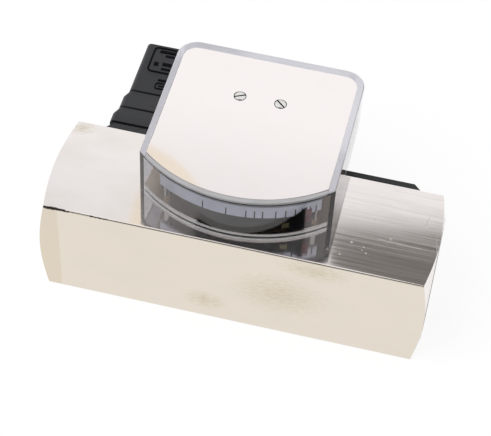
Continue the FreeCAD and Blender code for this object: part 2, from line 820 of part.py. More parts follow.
def build_housing():
    half = housing_height / 2
    shell = box((housing_left, housing_right), (back_face, housing_back), (axis_z - half, axis_z + half))
    upright = [
        edge for edge in shell.Edges
        if edge.BoundBox.ZLength > housing_height - margin and edge.BoundBox.YMin > housing_back - margin]
    shell = shell.makeChamfer(housing_corner_bevel, upright)
    inner = half - housing_wall
    shell = shell.cut(box(
        (housing_left + housing_wall, housing_right - housing_wall),
        (back_face - margin, housing_back - housing_wall),
        (axis_z - inner, axis_z + inner)))
    window = connector_window / 2
    shell = shell.cut(box(
        (connector_x - window, connector_x + window),
        (back_face, housing_back + margin),
        (axis_z - window, axis_z + window)))
    hole = housing_screw_radius + housing_screw_clearance
    head_hole = housing_screw_head_radius + housing_screw_clearance
    head_seat = housing_back - housing_screw_recess
    screws = []
    for x in housing_screw_x:
        shell = shell.fuse(rod_y(housing_boss_radius, back_face, housing_back, x, axis_z))
        shell = shell.cut(rod_y(hole, back_face - margin, housing_back + margin, x, axis_z))
        shell = shell.cut(rod_y(head_hole, head_seat, housing_back + margin, x, axis_z))
        reach = head_seat - back_face + housing_screw_depth
        screw = slotted_screw(
            housing_screw_head_radius, housing_screw_head_height, housing_screw_radius, reach,
            cover_screw_slot_width, cover_screw_slot_depth)
        screw.rotate(point(0, 0, 0), X_AXIS, -90)
        screw.translate(point(x, head_seat, axis_z))
        screws.append(screw)
    write("switch_housing", shell.removeSplitter())
    write("housing_screws", *screws)
    board_front = back_face + board_gap
    board = box(
        (board_left, board_right), (board_front, board_front + board_thickness),
        (axis_z - inner, axis_z + inner))
    write("circuit_board", board)
    reed_y = board_front - reed_radius
    reed_start = reed_x - reed_length / 2
    reed_end = reed_x + reed_length / 2
    neck = reed_radius / 2
    write("reed_switch", turned([
        (reed_start, 0), (reed_start, neck), (reed_start + neck, reed_radius),
        (reed_end - neck, reed_radius), (reed_end, neck), (reed_end, 0)], reed_y))
    leads = []
    for sign in (-1, 1):
        near = reed_x + sign * reed_length / 2
        far = near + sign * reed_lead_length
        lead = rod_x(reed_lead_radius, min(near, far), max(near, far), reed_y)
        leg = rod_y(reed_lead_radius, reed_y, board_front, far - sign * reed_lead_radius, axis_z)
        leads.append(lead.fuse(leg))
    write("reed_leads", *leads)


def blade_places():
    # Three contacts and the earth contact round the centre screw, as (x, z, width, thickness)
    return [
        (connector_x - blade_offset, axis_z, blade_thickness, blade_width),
        (connector_x + blade_offset, axis_z, blade_thickness, blade_width),
        (connector_x, axis_z - blade_offset, blade_width, blade_thickness),
        (connector_x, axis_z + blade_offset, blade_width, blade_thickness)]


def build_connector():
    # Contact carrier that stands through the housing's window
    wall_face = housing_back - housing_wall
    half = connector_window / 2 - connector_fit
    flange = connector_window / 2 + connector_flange
    carrier = box(
        (connector_x - half, connector_x + half), (wall_face, connector_face),
        (axis_z - half, axis_z + half))
    carrier = carrier.fuse(box(
        (connector_x - flange, connector_x + flange),
        (wall_face - connector_flange_thickness, wall_face),
        (axis_z - flange, axis_z + flange)))
    blade_start = wall_face - blade_inner_end
    blades = []
    for x, z, width, height in blade_places():
        blade = box(
            (x - width / 2, x + width / 2), (blade_start, blade_start + blade_length),
            (z - height / 2, z + height / 2))
        carrier = carrier.cut(blade)
        blades.append(blade)
    screw_hole = rod_y(plug_screw_radius, connector_face - plug_screw_bite - tapped_hole_extra,
                       connector_face + margin, connector_x, axis_z)
    write("connector_base", carrier.cut(screw_hole))
    write("contact_blades", *blades)
    outer = plug_width / 2 - plug_gasket_inset
    gasket = box((connector_x - outer, connector_x + outer), (housing_back, plug_start),
                 (axis_z - outer, axis_z + outer))
    window = connector_window / 2
    gasket = gasket.cut(box(
        (connector_x - window, connector_x + window), (housing_back - margin, plug_start + margin),
        (axis_z - window, axis_z + window)))
    write("plug_gasket", gasket)
    return blades


def make_plug_shell():
    # Square cover that steps in twice towards its closed end
    base_end = plug_start + plug_base_length
    band_start = base_end + plug_step_length
    band_end = band_start + plug_band_length
    cap_start = band_end + plug_step_length
    half = plug_width / 2
    band = half - plug_step
    cap = half - 2 * plug_step
    sections = [
        (plug_start, half), (base_end, half), (band_start, band), (band_end, band),
        (cap_start, cap), (plug_end - plug_end_bevel, cap), (plug_end, cap - plug_end_bevel)]
    wires = [rounded_square_y(reach, y, plug_corner_radius) for y, reach in sections]
    shell = Part.makeLoft(wires, True, True)
    return shell, cap, cap_start


def build_plug(blades):
    shell, cap, cap_start = make_plug_shell()
    cavity = insert_width / 2 + insert_fit
    shell = shell.cut(box(
        (connector_x - cavity, connector_x + cavity), (plug_start - margin, insert_end),
        (axis_z - cavity, axis_z + cavity)))
    inner = cap - plug_wall
    cavity_end = plug_end - plug_screw_recess - plug_wall
    shell = shell.cut(box(
        (connector_x - inner, connector_x + inner), (insert_end - margin, cavity_end),
        (axis_z - inner, axis_z + inner)))
    gland_y = plug_start + gland_distance
    side = connector_x + cap
    boss_end = side + gland_boss_length
    neck_end = boss_end + gland_neck_length
    shell = shell.fuse(rod_x(gland_boss_radius, side - plug_wall, boss_end, gland_y))
    shell = shell.fuse(rod_x(gland_neck_radius, side, neck_end, gland_y))
    shell = shell.cut(rod_x(gland_neck_bore, side - plug_wall - margin, neck_end + margin, gland_y))
    head_seat = plug_end - plug_screw_recess
    shell = shell.cut(rod_y(plug_screw_radius + plug_screw_clearance, cavity_end - margin,
                            plug_end + margin, connector_x, axis_z))
    shell = shell.cut(rod_y(plug_screw_head_radius + plug_screw_clearance, head_seat,
                            plug_end + margin, connector_x, axis_z))
    write("plug_cover", shell.removeSplitter())
    half = insert_width / 2
    insert = box((connector_x - half, connector_x + half), (insert_start, insert_end),
                 (axis_z - half, axis_z + half))
    insert = insert.cut(rod_y(plug_screw_radius + plug_screw_clearance, insert_start - margin,
                              insert_end + margin, connector_x, axis_z))
    heads = []
    for blade, (x, z, width, height) in zip(blades, blade_places()):
        insert = insert.cut(blade)
        heads.append(rod_y(terminal_screw_radius, insert_end, insert_end + terminal_screw_height, x, z))
    write("plug_insert", insert)
    write("terminal_screws", *heads)
    reach = head_seat - connector_face + plug_screw_bite
    screw = slotted_screw(
        plug_screw_head_radius, plug_screw_head_height, plug_screw_radius, reach,
        cover_screw_slot_width, cover_screw_slot_depth, 45)
    screw.rotate(point(0, 0, 0), X_AXIS, -90)
    screw.translate(point(connector_x, head_seat, axis_z))
    write("plug_screw", screw)
    build_gland(boss_end, neck_end, gland_y)


def build_gland(boss_end, neck_end, gland_y):
    # Nut over the neck, with the rubber grommet and its washer held inside
    nut_end = boss_end + gland_nut_length
    corner = gland_nut_across_flats / math.sqrt(3)
    envelope = turned([
        (boss_end, 0), (boss_end, corner), (nut_end - gland_nut_dome, corner),
        (nut_end, gland_neck_radius), (nut_end, 0)], gland_y)
    nut = hex_nut_x(gland_nut_across_flats, boss_end, nut_end, gland_cable_radius, gland_y)
    nut = nut.common(envelope)
    washer_end = neck_end + gland_washer_thickness
    nut = nut.cut(rod_x(gland_neck_radius, boss_end - margin, washer_end, gland_y))
    write("gland_nut", nut)
    washer = rod_x(gland_neck_bore, neck_end, washer_end, gland_y)
    washer = washer.cut(rod_x(gland_cable_radius, neck_end - margin, washer_end + margin, gland_y))
    write("gland_washer", washer)
    grommet_start = neck_end - gland_grommet_length
    grommet = rod_x(gland_neck_bore, grommet_start, neck_end, gland_y)
    hole = gland_neck_bore - gland_grommet_wall
    write("gland_grommet", grommet.cut(rod_x(hole, grommet_start - margin, neck_end + margin, gland_y)))


os.makedirs("parts", exist_ok=True)
write("body_block", make_body())
build_float_group()
build_dial_base()
build_pointer()
build_scale()
build_hood_and_cover()
build_housing()
build_plug(build_connector())
print("float travel %.3f mm, pointer from %.2f to %.2f degrees"
      % (float_travel, pointer_rest_angle, pointer_full_angle))
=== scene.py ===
"""Looks of a spring-loaded variable area flow meter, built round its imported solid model.

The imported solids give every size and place. This script dresses them in the finishes of the real
pieces, remakes the pieces whose faces must run smooth or carry fine detail, and sets up the pale
studio in which the meter stands. Lengths are metres, and MM turns millimetres into metres.
"""

import logging
import math
from dataclasses import dataclass
from enum import Enum
from functools import cache
from typing import Any, Callable, Iterable, Optional, Sequence

import bpy
from mathutils import Matrix, Vector


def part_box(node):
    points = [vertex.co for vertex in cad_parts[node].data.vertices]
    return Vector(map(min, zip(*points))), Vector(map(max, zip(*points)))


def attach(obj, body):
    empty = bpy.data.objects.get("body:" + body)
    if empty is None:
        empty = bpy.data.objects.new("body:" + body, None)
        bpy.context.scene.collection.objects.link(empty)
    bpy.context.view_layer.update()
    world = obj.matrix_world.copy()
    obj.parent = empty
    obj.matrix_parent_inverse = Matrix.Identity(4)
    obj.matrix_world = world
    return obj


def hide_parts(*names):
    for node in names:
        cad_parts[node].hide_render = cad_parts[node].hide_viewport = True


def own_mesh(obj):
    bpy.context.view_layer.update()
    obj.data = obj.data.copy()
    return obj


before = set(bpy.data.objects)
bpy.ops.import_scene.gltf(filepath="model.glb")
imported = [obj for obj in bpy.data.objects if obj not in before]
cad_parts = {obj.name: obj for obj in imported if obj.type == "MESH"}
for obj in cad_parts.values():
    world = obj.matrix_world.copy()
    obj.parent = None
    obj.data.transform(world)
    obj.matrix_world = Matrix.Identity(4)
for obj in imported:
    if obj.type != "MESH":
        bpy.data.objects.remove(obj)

MM = 0.001
# Places that several pieces share, in millimetres: the height of the bore's axis, the pointer's
# pivot, and the centre of the arc that the hood's front and the scale follow
BORE_HEIGHT = 20.0
PIVOT = (-2.4, 28.2)
ARC_CENTRE = (-2.4, 29.8)
WHITE = (1.0, 1.0, 1.0, 1.0)
LOG = logging.getLogger("flow_meter")
# Noise mostly stays inside this span
NOISE_SPAN = (0.3, 0.7)
LEAST_ROUGHNESS = 0.02
# Edges of a node's copy are broken above this angle in degrees
NODE_EDGE_LIMIT = 35.0
# Vertices nearer than this in metres are one, and so are faces flatter than this in degrees
SAME_PLACE = 1e-6
SAME_PLANE = 0.05

Piece = bpy.types.Object
Material = bpy.types.Material
Tree = bpy.types.NodeTree
Node = bpy.types.Node
Socket = bpy.types.NodeSocket
Test = Callable[[Vector, Vector], bool]


class Axis(Enum):
    """Directions of the meter's frame, as the letter that operators take."""

    X = "X"
    Y = "Y"
    Z = "Z"

    @property
    def across(self) -> tuple[float, float, float]:
        """Factors that keep only the two coordinates across this axis."""
        return tuple(0.0 if letter == self.value else 1.0 for letter in "XYZ")

    @property
    def along(self) -> tuple[float, float, float]:
        """Factors that keep only the coordinate along this axis."""
        return tuple(1.0 if letter == self.value else 0.0 for letter in "XYZ")


class Body(Enum):
    """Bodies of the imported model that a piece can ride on."""

    METER = "meter"
    FLOAT = "float"
    POINTER = "pointer"


class Slot(Enum):
    """Material slots of the record."""

    NICKEL = "nickel_plated_brass"
    POLISHED = "polished_steel"
    STAINLESS = "stainless_steel"
    SPRING = "spring_steel"
    BRASS = "brass"
    FERRITE = "ferrite"
    ALUMINIUM = "aluminium"
    STRIP = "scale_white"
    ACRYLIC = "clear_acrylic"
    BLACK_POLYAMIDE = "black_polyamide"
    GREY_POLYAMIDE = "grey_polyamide"
    RUBBER = "black_rubber"
    RED = "red_lacquer"
    BOARD = "board_green"
    GLASS = "reed_glass"


class Part(Enum):
    """Kinds of mesh element that can be picked."""

    VERTICES = "VERT"
    EDGES = "EDGE"
    FACES = "FACE"


# Shader building

def linear(value: str) -> tuple[float, float, float, float]:
    """Turn an sRGB hex colour into the linear values that shaders take.

    Args:
        value: Colour as "#RRGGBB".

    Returns:
        Linear red, green and blue, and an alpha of one.
    """
    channels = [int(value[i:i + 2], 16) / 255 for i in (1, 3, 5)]
    return (*(c / 12.92 if c <= 0.04045 else ((c + 0.055) / 1.055) ** 2.4 for c in channels), 1.0)


def add_node(tree: Tree, kind: str, inputs: Optional[dict] = None,
             **settings: Any) -> Node:
    """Add one shader node with its settings and links.

    Args:
        tree: Node tree that takes the node.
        kind: The node's type name.
        inputs: Sockets by name or number, each with a value or the socket that feeds it.
        **settings: Properties of the node.

    Returns:
        The new node.
    """
    node = tree.nodes.new(kind)
    for key, value in settings.items():
        setattr(node, key, value)
    for name, source in (inputs or {}).items():
        if isinstance(source, Socket):
            tree.links.new(source, node.inputs[name])
        else:
            node.inputs[name].default_value = source
    return node


def empty_material(name: str) -> Material:
    """Make a material whose node tree is empty.

    Args:
        name: The material's name.

    Returns:
        The new material.
    """
    made = bpy.data.materials.new(name)
    made.use_nodes = True
    made.node_tree.nodes.clear()
    return made


def combine(tree: Tree, operation: str, one: Any, other: Any) -> Socket:
    """Join two patterns, or a pattern and a number, by one operation of arithmetic."""
    return add_node(tree, "ShaderNodeMath", {0: one, 1: other}, operation=operation).outputs[0]


def remap(tree: Tree, value: Socket, start: float, stop: float, low: float = 0.0,
          high: float = 1.0) -> Socket:
    """Carry the span of a pattern from start to stop onto the span from low to high."""
    return add_node(tree, "ShaderNodeMapRange", {
        "Value": value, "From Min": start, "From Max": stop,
        "To Min": low, "To Max": high}).outputs["Result"]


def own_place(tree: Tree) -> Socket:
    """Return the place on the piece in its own coordinates, in metres."""
    return add_node(tree, "ShaderNodeTexCoord").outputs["Object"]


def own_axis(tree: Tree, axis: Axis) -> Socket:
    """Return one of the piece's own coordinates, in metres."""
    apart = add_node(tree, "ShaderNodeSeparateXYZ", {"Vector": own_place(tree)})
    return apart.outputs[axis.value]


def blobs(tree: Tree, size: Sequence[float], detail: float = 2.0,
          shift: Sequence[float] = (0.0, 0.0, 0.0)) -> Socket:
    """Noise on the piece's own coordinates, with blobs of a real size.

    Args:
        tree: Node tree that takes the nodes.
        size: Length of a blob along X, Y and Z in millimetres.
        detail: Finer octaves of the noise.
        shift: Move of the pattern, in blobs.

    Returns:
        Socket with values around one half.
    """
    scaled = add_node(tree, "ShaderNodeMapping", {
        "Vector": own_place(tree),
        "Scale": [1 / (length * MM) for length in size],
        "Location": shift})
    return add_node(tree, "ShaderNodeTexNoise", {
        "Vector": scaled.outputs["Vector"], "Scale": 1.0, "Detail": detail}).outputs["Fac"]


@dataclass(frozen=True)
class Mark:
    """A place on a surface that differs: a stain, a scratch or a speck.

    Attributes:
        centre: Middle in millimetres.
        reach: Half length along X, Y and Z in millimetres.
        turn: Turn about the upright axis in degrees.
    """

    centre: tuple[float, float, float]
    reach: tuple[float, float, float]
    turn: float = 0.0

    def mask(self, tree: Tree, soft: float = 0.5) -> Socket:
        """Return one inside the mark and zero outside.

        Args:
            tree: Node tree that takes the nodes.
            soft: Share of the mark's reach over which it fades.
        """
        inside = add_node(tree, "ShaderNodeMapping", {
            "Vector": own_place(tree),
            "Location": [c * MM for c in self.centre],
            "Rotation": (0.0, 0.0, math.radians(self.turn)),
            "Scale": [r * MM for r in self.reach]}, vector_type="TEXTURE")
        distance = add_node(tree, "ShaderNodeVectorMath", {
            0: inside.outputs["Vector"]}, operation="LENGTH")
        return remap(tree, distance.outputs["Value"], 1.0 - soft, 1.0, 1.0, 0.0)


def speck(x: float, y: float, along: float, across: float, turn: float = 0.0) -> Mark:
    """Return a crumb or scratch on the body's top, with half lengths along X and Y in mm."""
    return Mark((x, y, 40.0), (along, across, 0.5), turn)


def any_of(tree: Tree, marks: Sequence[Mark], soft: float = 0.5) -> Socket:
    """Join the masks of several marks into one."""
    masks = [mark.mask(tree, soft) for mark in marks]
    while len(masks) > 1:
        masks = masks[2:] + [combine(tree, "MAXIMUM", masks[0], masks[1])]
    return masks[0]


@dataclass(frozen=True)
class Finish:
    """One real surface, with what its making gives the eye.

    Attributes:
        title: Plain name of the material and how its surface was made.
        colour: Main colour in sRGB hex.
        roughness: Mean roughness.
        metallic: One for a metal, zero for anything else.
    """

    title: str
    colour: str
    roughness: float
    metallic: float = 0.0

    @cache
    def material(self) -> Material:
        """Return this finish as a material, which is made on first use."""
        made = empty_material(self.title)
        tree = made.node_tree
        shader = add_node(tree, "ShaderNodeBsdfPrincipled", {
            "Base Color": linear(self.colour),
            "Roughness": self.roughness,
            "Metallic": self.metallic})
        add_node(tree, "ShaderNodeOutputMaterial", {"Surface": shader.outputs["BSDF"]})
        self.pattern(tree, shader)
        return made

    def pattern(self, tree: Tree, shader: Node) -> None:
        """Add what makes this surface more than one flat colour.

        Args:
            tree: The material's node tree.
            shader: The shader that the pattern feeds.
        """
        raise NotImplementedError

    def vary_roughness(self, tree: Tree, shader: Node, source: Socket,
                       spread: float) -> None:
        """Let a pattern swing the roughness about its mean.

        Args:
            tree: The material's node tree.
            shader: The shader to feed.
            source: Pattern with values around one half.
            spread: Most that the roughness departs from its mean.
        """
        swing = remap(tree, source, *NOISE_SPAN, max(LEAST_ROUGHNESS, self.roughness - spread),
                      self.roughness + spread)
        tree.links.new(swing, shader.inputs["Roughness"])

    def tint(self, tree: Tree, source: Socket, other: str, amount: float,
             start: float = 0.35, stop: float = 0.65, base: Optional[Socket] = None) -> Socket:
        """Mix a second colour in where a pattern is high.

        Args:
            tree: The material's node tree.
            source: Pattern that drives the mix.
            other: Second colour in sRGB hex.
            amount: Share of the second colour at the most.
            start: Pattern value at which the second colour begins.
            stop: Pattern value at which it is full.
            base: First colour, or None for the finish's own colour.

        Returns:
            Socket with the mixed colour.
        """
        mixed = add_node(tree, "ShaderNodeMix", {
            0: remap(tree, source, start, stop, 0.0, amount),
            6: base if base is not None else linear(self.colour),
            7: linear(other)}, data_type="RGBA")
        return mixed.outputs[2]

    def bump(self, tree: Tree, shader: Node, source: Socket,
             height: float, strength: float = 1.0) -> None:
        """Raise the surface by a pattern.

        Args:
            tree: The material's node tree.
            shader: The shader to feed.
            source: Pattern that gives the height.
            height: Height of the pattern in micrometres.
            strength: Share of the slope that shows.
        """
        relief = add_node(tree, "ShaderNodeBump", {
            "Height": source, "Strength": strength, "Distance": height * MM * MM})
        tree.links.new(relief.outputs["Normal"], shader.inputs["Normal"])


@dataclass(frozen=True)
class DrawnNickel(Finish):
    """Nickel plate on drawn brass bar: a mirror with fine lines along the bar.

    The lines run along X, so they smear a reflection across the bar and leave it sharp along it.

    Attributes:
        front_reflected_tint: Warmer tint of the front side, in sRGB hex: a painted reflection of
            the floor in front of it.
        band_colour: Yellower band at the front's outlet end, in sRGB hex.
        stain_colour: Brown bloom left by handling, in sRGB hex.
        dark_edge_reflection_colour: Dark colour painted along the left of the long front edge, in
            sRGB hex: a painted reflection in the edge's small rounding.
        patch_colour: Slightly greyer patches of the plate, in sRGB hex.
        crumb_colour: Crumbs and scratches on the top, in sRGB hex.
        front_face: Places along Y between which the front side begins, for its painted tint and
            its band, in millimetres.
        band_edge: Places along X between which the band ends, in millimetres.
        line_width: Width of a drawn line in millimetres.
        line_length: Length of a drawn line in millimetres.
        line_depth: Depth of a drawn line in micrometres.
        crumb_roughness: Roughness that a crumb adds.
        smear: Share of the roughness that lies across the lines.
        stains: Handling stains.
        dark_edge_marks: Places on the long front edge that get the painted dark reflection.
        specks: Pale crumbs and scratches on the top.
    """

    front_reflected_tint: str = "#E3DACD"
    band_colour: str = "#DACDB9"
    stain_colour: str = "#C2B596"
    dark_edge_reflection_colour: str = "#3E3632"
    patch_colour: str = "#DAD3C6"
    crumb_colour: str = "#F8F6F2"
    front_face: tuple[float, float] = (-19.9, -19.2)
    band_edge: tuple[float, float] = (-58.6, -57.8)
    line_width: float = 0.35
    line_length: float = 45.0
    line_depth: float = 0.14
    crumb_roughness: float = 0.6
    smear: float = 0.9
    stains: tuple[Mark, ...] = (
        Mark((17.0, -20.0, 20.0), (27.0, 3.0, 17.0)), Mark((-8.0, -20.0, 9.0), (13.0, 3.0, 8.0)),
        Mark((28.0, -20.0, 36.0), (20.0, 3.0, 8.0)),
        Mark((-61.0, 16.5, 40.0), (9.0, 5.0, 3.0), 20.0))
    # Painted reflection: dark patches where the front edge's rounding mirrors something dark
    dark_edge_marks: tuple[Mark, ...] = (
        Mark((-60.0, -20.3, 39.9), (13.0, 1.5, 1.1)), Mark((-44.0, -20.1, 40.0), (9.0, 0.9, 0.7)))
    specks: tuple[Mark, ...] = (
        speck(37.2, -8.1, 0.45, 0.35), speck(49.2, -3.5, 0.7, 0.3, -25.0),
        speck(34.5, -14.0, 0.3, 0.3), speck(30.0, -13.0, 0.3, 0.5),
        speck(41.4, -9.1, 0.25, 0.25), speck(42.5, -11.4, 0.2, 0.25),
        speck(41.0, -10.5, 0.25, 0.2), speck(43.0, 3.2, 0.3, 0.3),
        speck(52.3, -4.8, 8.5, 0.14, -2.0), speck(59.5, 7.0, 0.1, 2.9, -17.0),
        speck(61.3, 4.5, 2.8, 0.1, 12.0), speck(64.2, -2.8, 0.12, 3.6, 9.0))

    def pattern(self, tree: Tree, shader: Node) -> None:
        """Add drawn lines, the front side's painted reflected tint, stains, the front edge's
        painted dark reflection and crumbs.
        """
        lines = blobs(tree, (self.line_length, self.line_width, self.line_width), detail=3.0)
        front = remap(tree, own_axis(tree, Axis.Y), *(y * MM for y in self.front_face), 1.0, 0.0)
        end = remap(tree, own_axis(tree, Axis.X), *(x * MM for x in self.band_edge), 1.0, 0.0)
        band = combine(tree, "MULTIPLY", end, front)
        patches = blobs(tree, (22.0, 10.0, 10.0), detail=3.0)
        dust = blobs(tree, (2.4, 0.5, 0.6), detail=5.0)
        stained = combine(tree, "MULTIPLY", any_of(tree, self.stains, 1.0), dust)
        crumbs = blobs(tree, (1.1, 0.6, 0.6), detail=3.0, shift=(7.0, 1.0, 0.0))
        dark_edge_mask = combine(tree, "MULTIPLY", any_of(tree, self.dark_edge_marks, 0.6), crumbs)
        specks = any_of(tree, self.specks)
        colour = None
        # Each layer: its pattern, colour, greatest share, and the span in which it sets in
        for source, other, amount, start, stop in (
                # Painted reflection: the front side's warmer tint stands for the floor it mirrors
                (front, self.front_reflected_tint, 1.0, 0.0, 1.0),
                (band, self.band_colour, 0.75, 0.0, 1.0),
                (patches, self.patch_colour, 0.28, 0.45, 0.75),
                (stained, self.stain_colour, 0.62, 0.18, 0.6),
                # Painted reflection: dark patches along the left of the long front edge
                (dark_edge_mask, self.dark_edge_reflection_colour, 0.95, 0.25, 0.38),
                (specks, self.crumb_colour, 1.0, 0.3, 0.9)):
            colour = self.tint(tree, source, other, amount, start, stop, base=colour)
        tree.links.new(colour, shader.inputs["Base Color"])
        swing = remap(tree, lines, *NOISE_SPAN, self.roughness - 0.02, self.roughness + 0.04)
        dull = combine(tree, "MULTIPLY", specks, self.crumb_roughness)
        tree.links.new(combine(tree, "ADD", swing, dull), shader.inputs["Roughness"])
        shader.inputs["Anisotropic"].default_value = self.smear
        around = add_node(tree, "ShaderNodeTangent", direction_type="RADIAL", axis="X")
        tree.links.new(around.outputs["Tangent"], shader.inputs["Tangent"])
        self.bump(tree, shader, lines, self.line_depth)


@dataclass(frozen=True)
class TurnedMetal(Finish):
    """Metal cut on a lathe: fine rings about the piece's own axis.

    Attributes:
        axis: Direction of the lathe's axis.
        centre: A point on the axis, in millimetres.
        ring_width: Width of a tool mark in millimetres.
        ring_depth: Depth of a tool mark in micrometres.
        dull_colour: Colour of the duller patches, in sRGB hex.
    """

    metallic: float = 1.0
    axis: Axis = Axis.X
    centre: tuple[float, float, float] = (0.0, 0.0, BORE_HEIGHT)
    ring_width: float = 0.25
    ring_depth: float = 2.0
    dull_colour: str = "#8F8A80"

    def pattern(self, tree: Tree, shader: Node) -> None:
        """Add tool marks that follow the radius and the length."""
        moved = add_node(tree, "ShaderNodeVectorMath", {
            0: own_place(tree), 1: [c * MM for c in self.centre]}, operation="SUBTRACT")
        across = add_node(tree, "ShaderNodeVectorMath", {
            0: moved.outputs[0], 1: self.axis.across}, operation="MULTIPLY")
        radius = add_node(tree, "ShaderNodeVectorMath", {0: across.outputs[0]}, operation="LENGTH")
        length = add_node(tree, "ShaderNodeVectorMath", {
            0: moved.outputs[0], 1: self.axis.along}, operation="DOT_PRODUCT")
        pair = add_node(tree, "ShaderNodeCombineXYZ", {
            "X": radius.outputs["Value"], "Y": length.outputs["Value"]})
        marks = add_node(tree, "ShaderNodeTexNoise", {
            "Vector": pair.outputs[0], "Scale": 1 / (self.ring_width * MM), "Detail": 2.0})
        self.vary_roughness(tree, shader, marks.outputs["Fac"], 0.08)
        self.bump(tree, shader, marks.outputs["Fac"], self.ring_depth)
        dull = blobs(tree, (3.0, 3.0, 3.0))
        tree.links.new(self.tint(tree, dull, self.dull_colour, 0.18), shader.inputs["Base Color"])


@dataclass(frozen=True)
class SheetMetal(Finish):
    """Rolled sheet, lapped in one direction: soft hairlines and a faint bloom.

    Attributes:
        line_width: Width of a hairline in millimetres.
        line_length: Length of a hairline in millimetres.
        bloom_colour: Colour of the faint bloom, in sRGB hex.
        relief: Depth of the hairlines in micrometres.
    """

    metallic: float = 1.0
    line_width: float = 0.3
    line_length: float = 40.0
    bloom_colour: str = "#C9C2B8"
    relief: float = 0.3

    def pattern(self, tree: Tree, shader: Node) -> None:
        """Add hairlines along Y and the bloom."""
        lines = blobs(tree, (self.line_width, self.line_length, self.line_width), detail=2.0)
        self.vary_roughness(tree, shader, lines, 0.03)
        bloom = blobs(tree, (16.0, 12.0, 12.0), detail=3.0)
        tree.links.new(self.tint(tree, bloom, self.bloom_colour, 0.25, 0.5, 0.75),
                       shader.inputs["Base Color"])
        self.bump(tree, shader, lines, self.relief)


@dataclass(frozen=True)
class Moulded(Finish):
    """Moulded or pressed non-metal: fine grain, slightly uneven gloss and colour.

    Attributes:
        grain: Size of the grain in millimetres.
        depth: Height of the grain in micrometres.
        mottle_colour: Second colour of the body, in sRGB hex.
        mottle: Share of the second colour.
        gloss: Level of the clear reflection.
        shaded_creases: Inner corners that get painted shade.
        crease_shade_colour: Colour of the painted shade in those corners, in sRGB hex.
    """

    grain: float = 0.35
    depth: float = 12.0
    mottle_colour: str = "#2C2C30"
    mottle: float = 0.5
    gloss: float = 0.5
    shaded_creases: tuple[Mark, ...] = ()
    crease_shade_colour: str = "#020203"

    def pattern(self, tree: Tree, shader: Node) -> None:
        """Add grain, uneven gloss and mottling, and painted shade in any shaded corners."""
        grain = blobs(tree, (self.grain,) * 3, detail=2.0)
        broad = blobs(tree, (6.0, 6.0, 6.0), detail=3.0)
        self.vary_roughness(tree, shader, broad, 0.06)
        self.bump(tree, shader, grain, self.depth)
        colour = self.tint(tree, broad, self.mottle_colour, self.mottle)
        if self.shaded_creases:
            # Painted shade: the corners turn near black and lose their reflection
            shade = any_of(tree, self.shaded_creases, 0.8)
            colour = self.tint(tree, shade, self.crease_shade_colour, 1.0, 0.1, 0.9, base=colour)
            matt = remap(tree, shade, 0.0, 1.0, self.gloss, 0.0)
            tree.links.new(matt, shader.inputs["Specular IOR Level"])
        else:
            shader.inputs["Specular IOR Level"].default_value = self.gloss
        tree.links.new(colour, shader.inputs["Base Color"])


@dataclass(frozen=True)
class ClearPlastic(Finish):
    """Clear moulded plastic or glass: polished, slightly wavy, with a trace of tint.

    Attributes:
        refraction: Index of refraction.
        shade_colour: Second tint, in sRGB hex.
        wave: Height of the moulded waves in micrometres.
        clearness: Share of the light that passes instead of being scattered.
    """

    refraction: float = 1.49
    shade_colour: str = "#DFE2E8"
    wave: float = 6.0
    clearness: float = 1.0

    def pattern(self, tree: Tree, shader: Node) -> None:
        """Make the shader clear, uneven in tint and wavy."""
        shader.inputs["Transmission Weight"].default_value = self.clearness
        shader.inputs["IOR"].default_value = self.refraction
        clouds = blobs(tree, (14.0, 14.0, 8.0), detail=2.0)
        tint = self.tint(tree, clouds, self.shade_colour, 0.6)
        tree.links.new(tint, shader.inputs["Base Color"])
        self.bump(tree, shader, blobs(tree, (9.0, 9.0, 6.0), detail=1.0), self.wave)


@dataclass(frozen=True)
class BoardLaminate(Finish):
    """Circuit board: solder resist with copper tracks that show through it.

    Attributes:
        track_pitch: Distance between tracks in millimetres.
        track_depth: Height of a track in micrometres.
        second_colour: Slightly lighter resist, in sRGB hex.
        track_colour: Tracks seen through the resist, in sRGB hex.
    """

    track_pitch: float = 2.54
    track_depth: float = 30.0
    second_colour: str = "#1B6437"
    track_colour: str = "#4B9A5C"

    def pattern(self, tree: Tree, shader: Node) -> None:
        """Add tracks as a lighter brick pattern."""
        turned = add_node(tree, "ShaderNodeMapping", {
            "Vector": own_place(tree), "Rotation": (math.pi / 2, 0.0, 0.0),
            "Scale": [1 / (self.track_pitch * MM)] * 3})
        tracks = add_node(tree, "ShaderNodeTexBrick", {
            "Vector": turned.outputs["Vector"], "Color1": linear(self.colour),
            "Color2": linear(self.second_colour), "Mortar": linear(self.track_colour),
            "Scale": 1.0, "Mortar Size": 0.09, "Brick Width": 3.0, "Row Height": 1.0})
        tree.links.new(tracks.outputs["Color"], shader.inputs["Base Color"])
        self.bump(tree, shader, tracks.outputs["Fac"], self.track_depth)


# Nickel plate over brass bar: warm white mirror, lines from the drawing die
BODY_PLATE = DrawnNickel("nickel_plate_on_drawn_brass", "#F2ECEA", 0.06, 1.0)
# Threads and ports: cut after drawing and dull; their darker colour is painted shade for the depth
# of the bore
SHADED_PORT_PLATE = TurnedMetal("nickel_plate_in_ports_painted_shade", "#8D857B", 0.36, ring_width=0.5)
# Polished stainless sheet: nearly a mirror, neutral white
COVER_SHEET = SheetMetal("polished_stainless_sheet", "#F8F2F1", 0.05, bloom_colour="#F3EEEA",
                         relief=0.15)
# Turned stainless: grey with bright rings
STAINLESS_X = TurnedMetal("turned_stainless_along_bore", "#C6C4C1", 0.26)
STAINLESS_Z = TurnedMetal("turned_stainless_upright", "#CFCDCA", 0.22, axis=Axis.Z,
                          centre=(*PIVOT, 0.0))
# Ground and tumbled stainless fasteners: soft, without a lathe's rings
STAINLESS_SMALL = SheetMetal("tumbled_stainless", "#C9C7C4", 0.24, line_width=0.4, line_length=1.5,
                             relief=1.0)
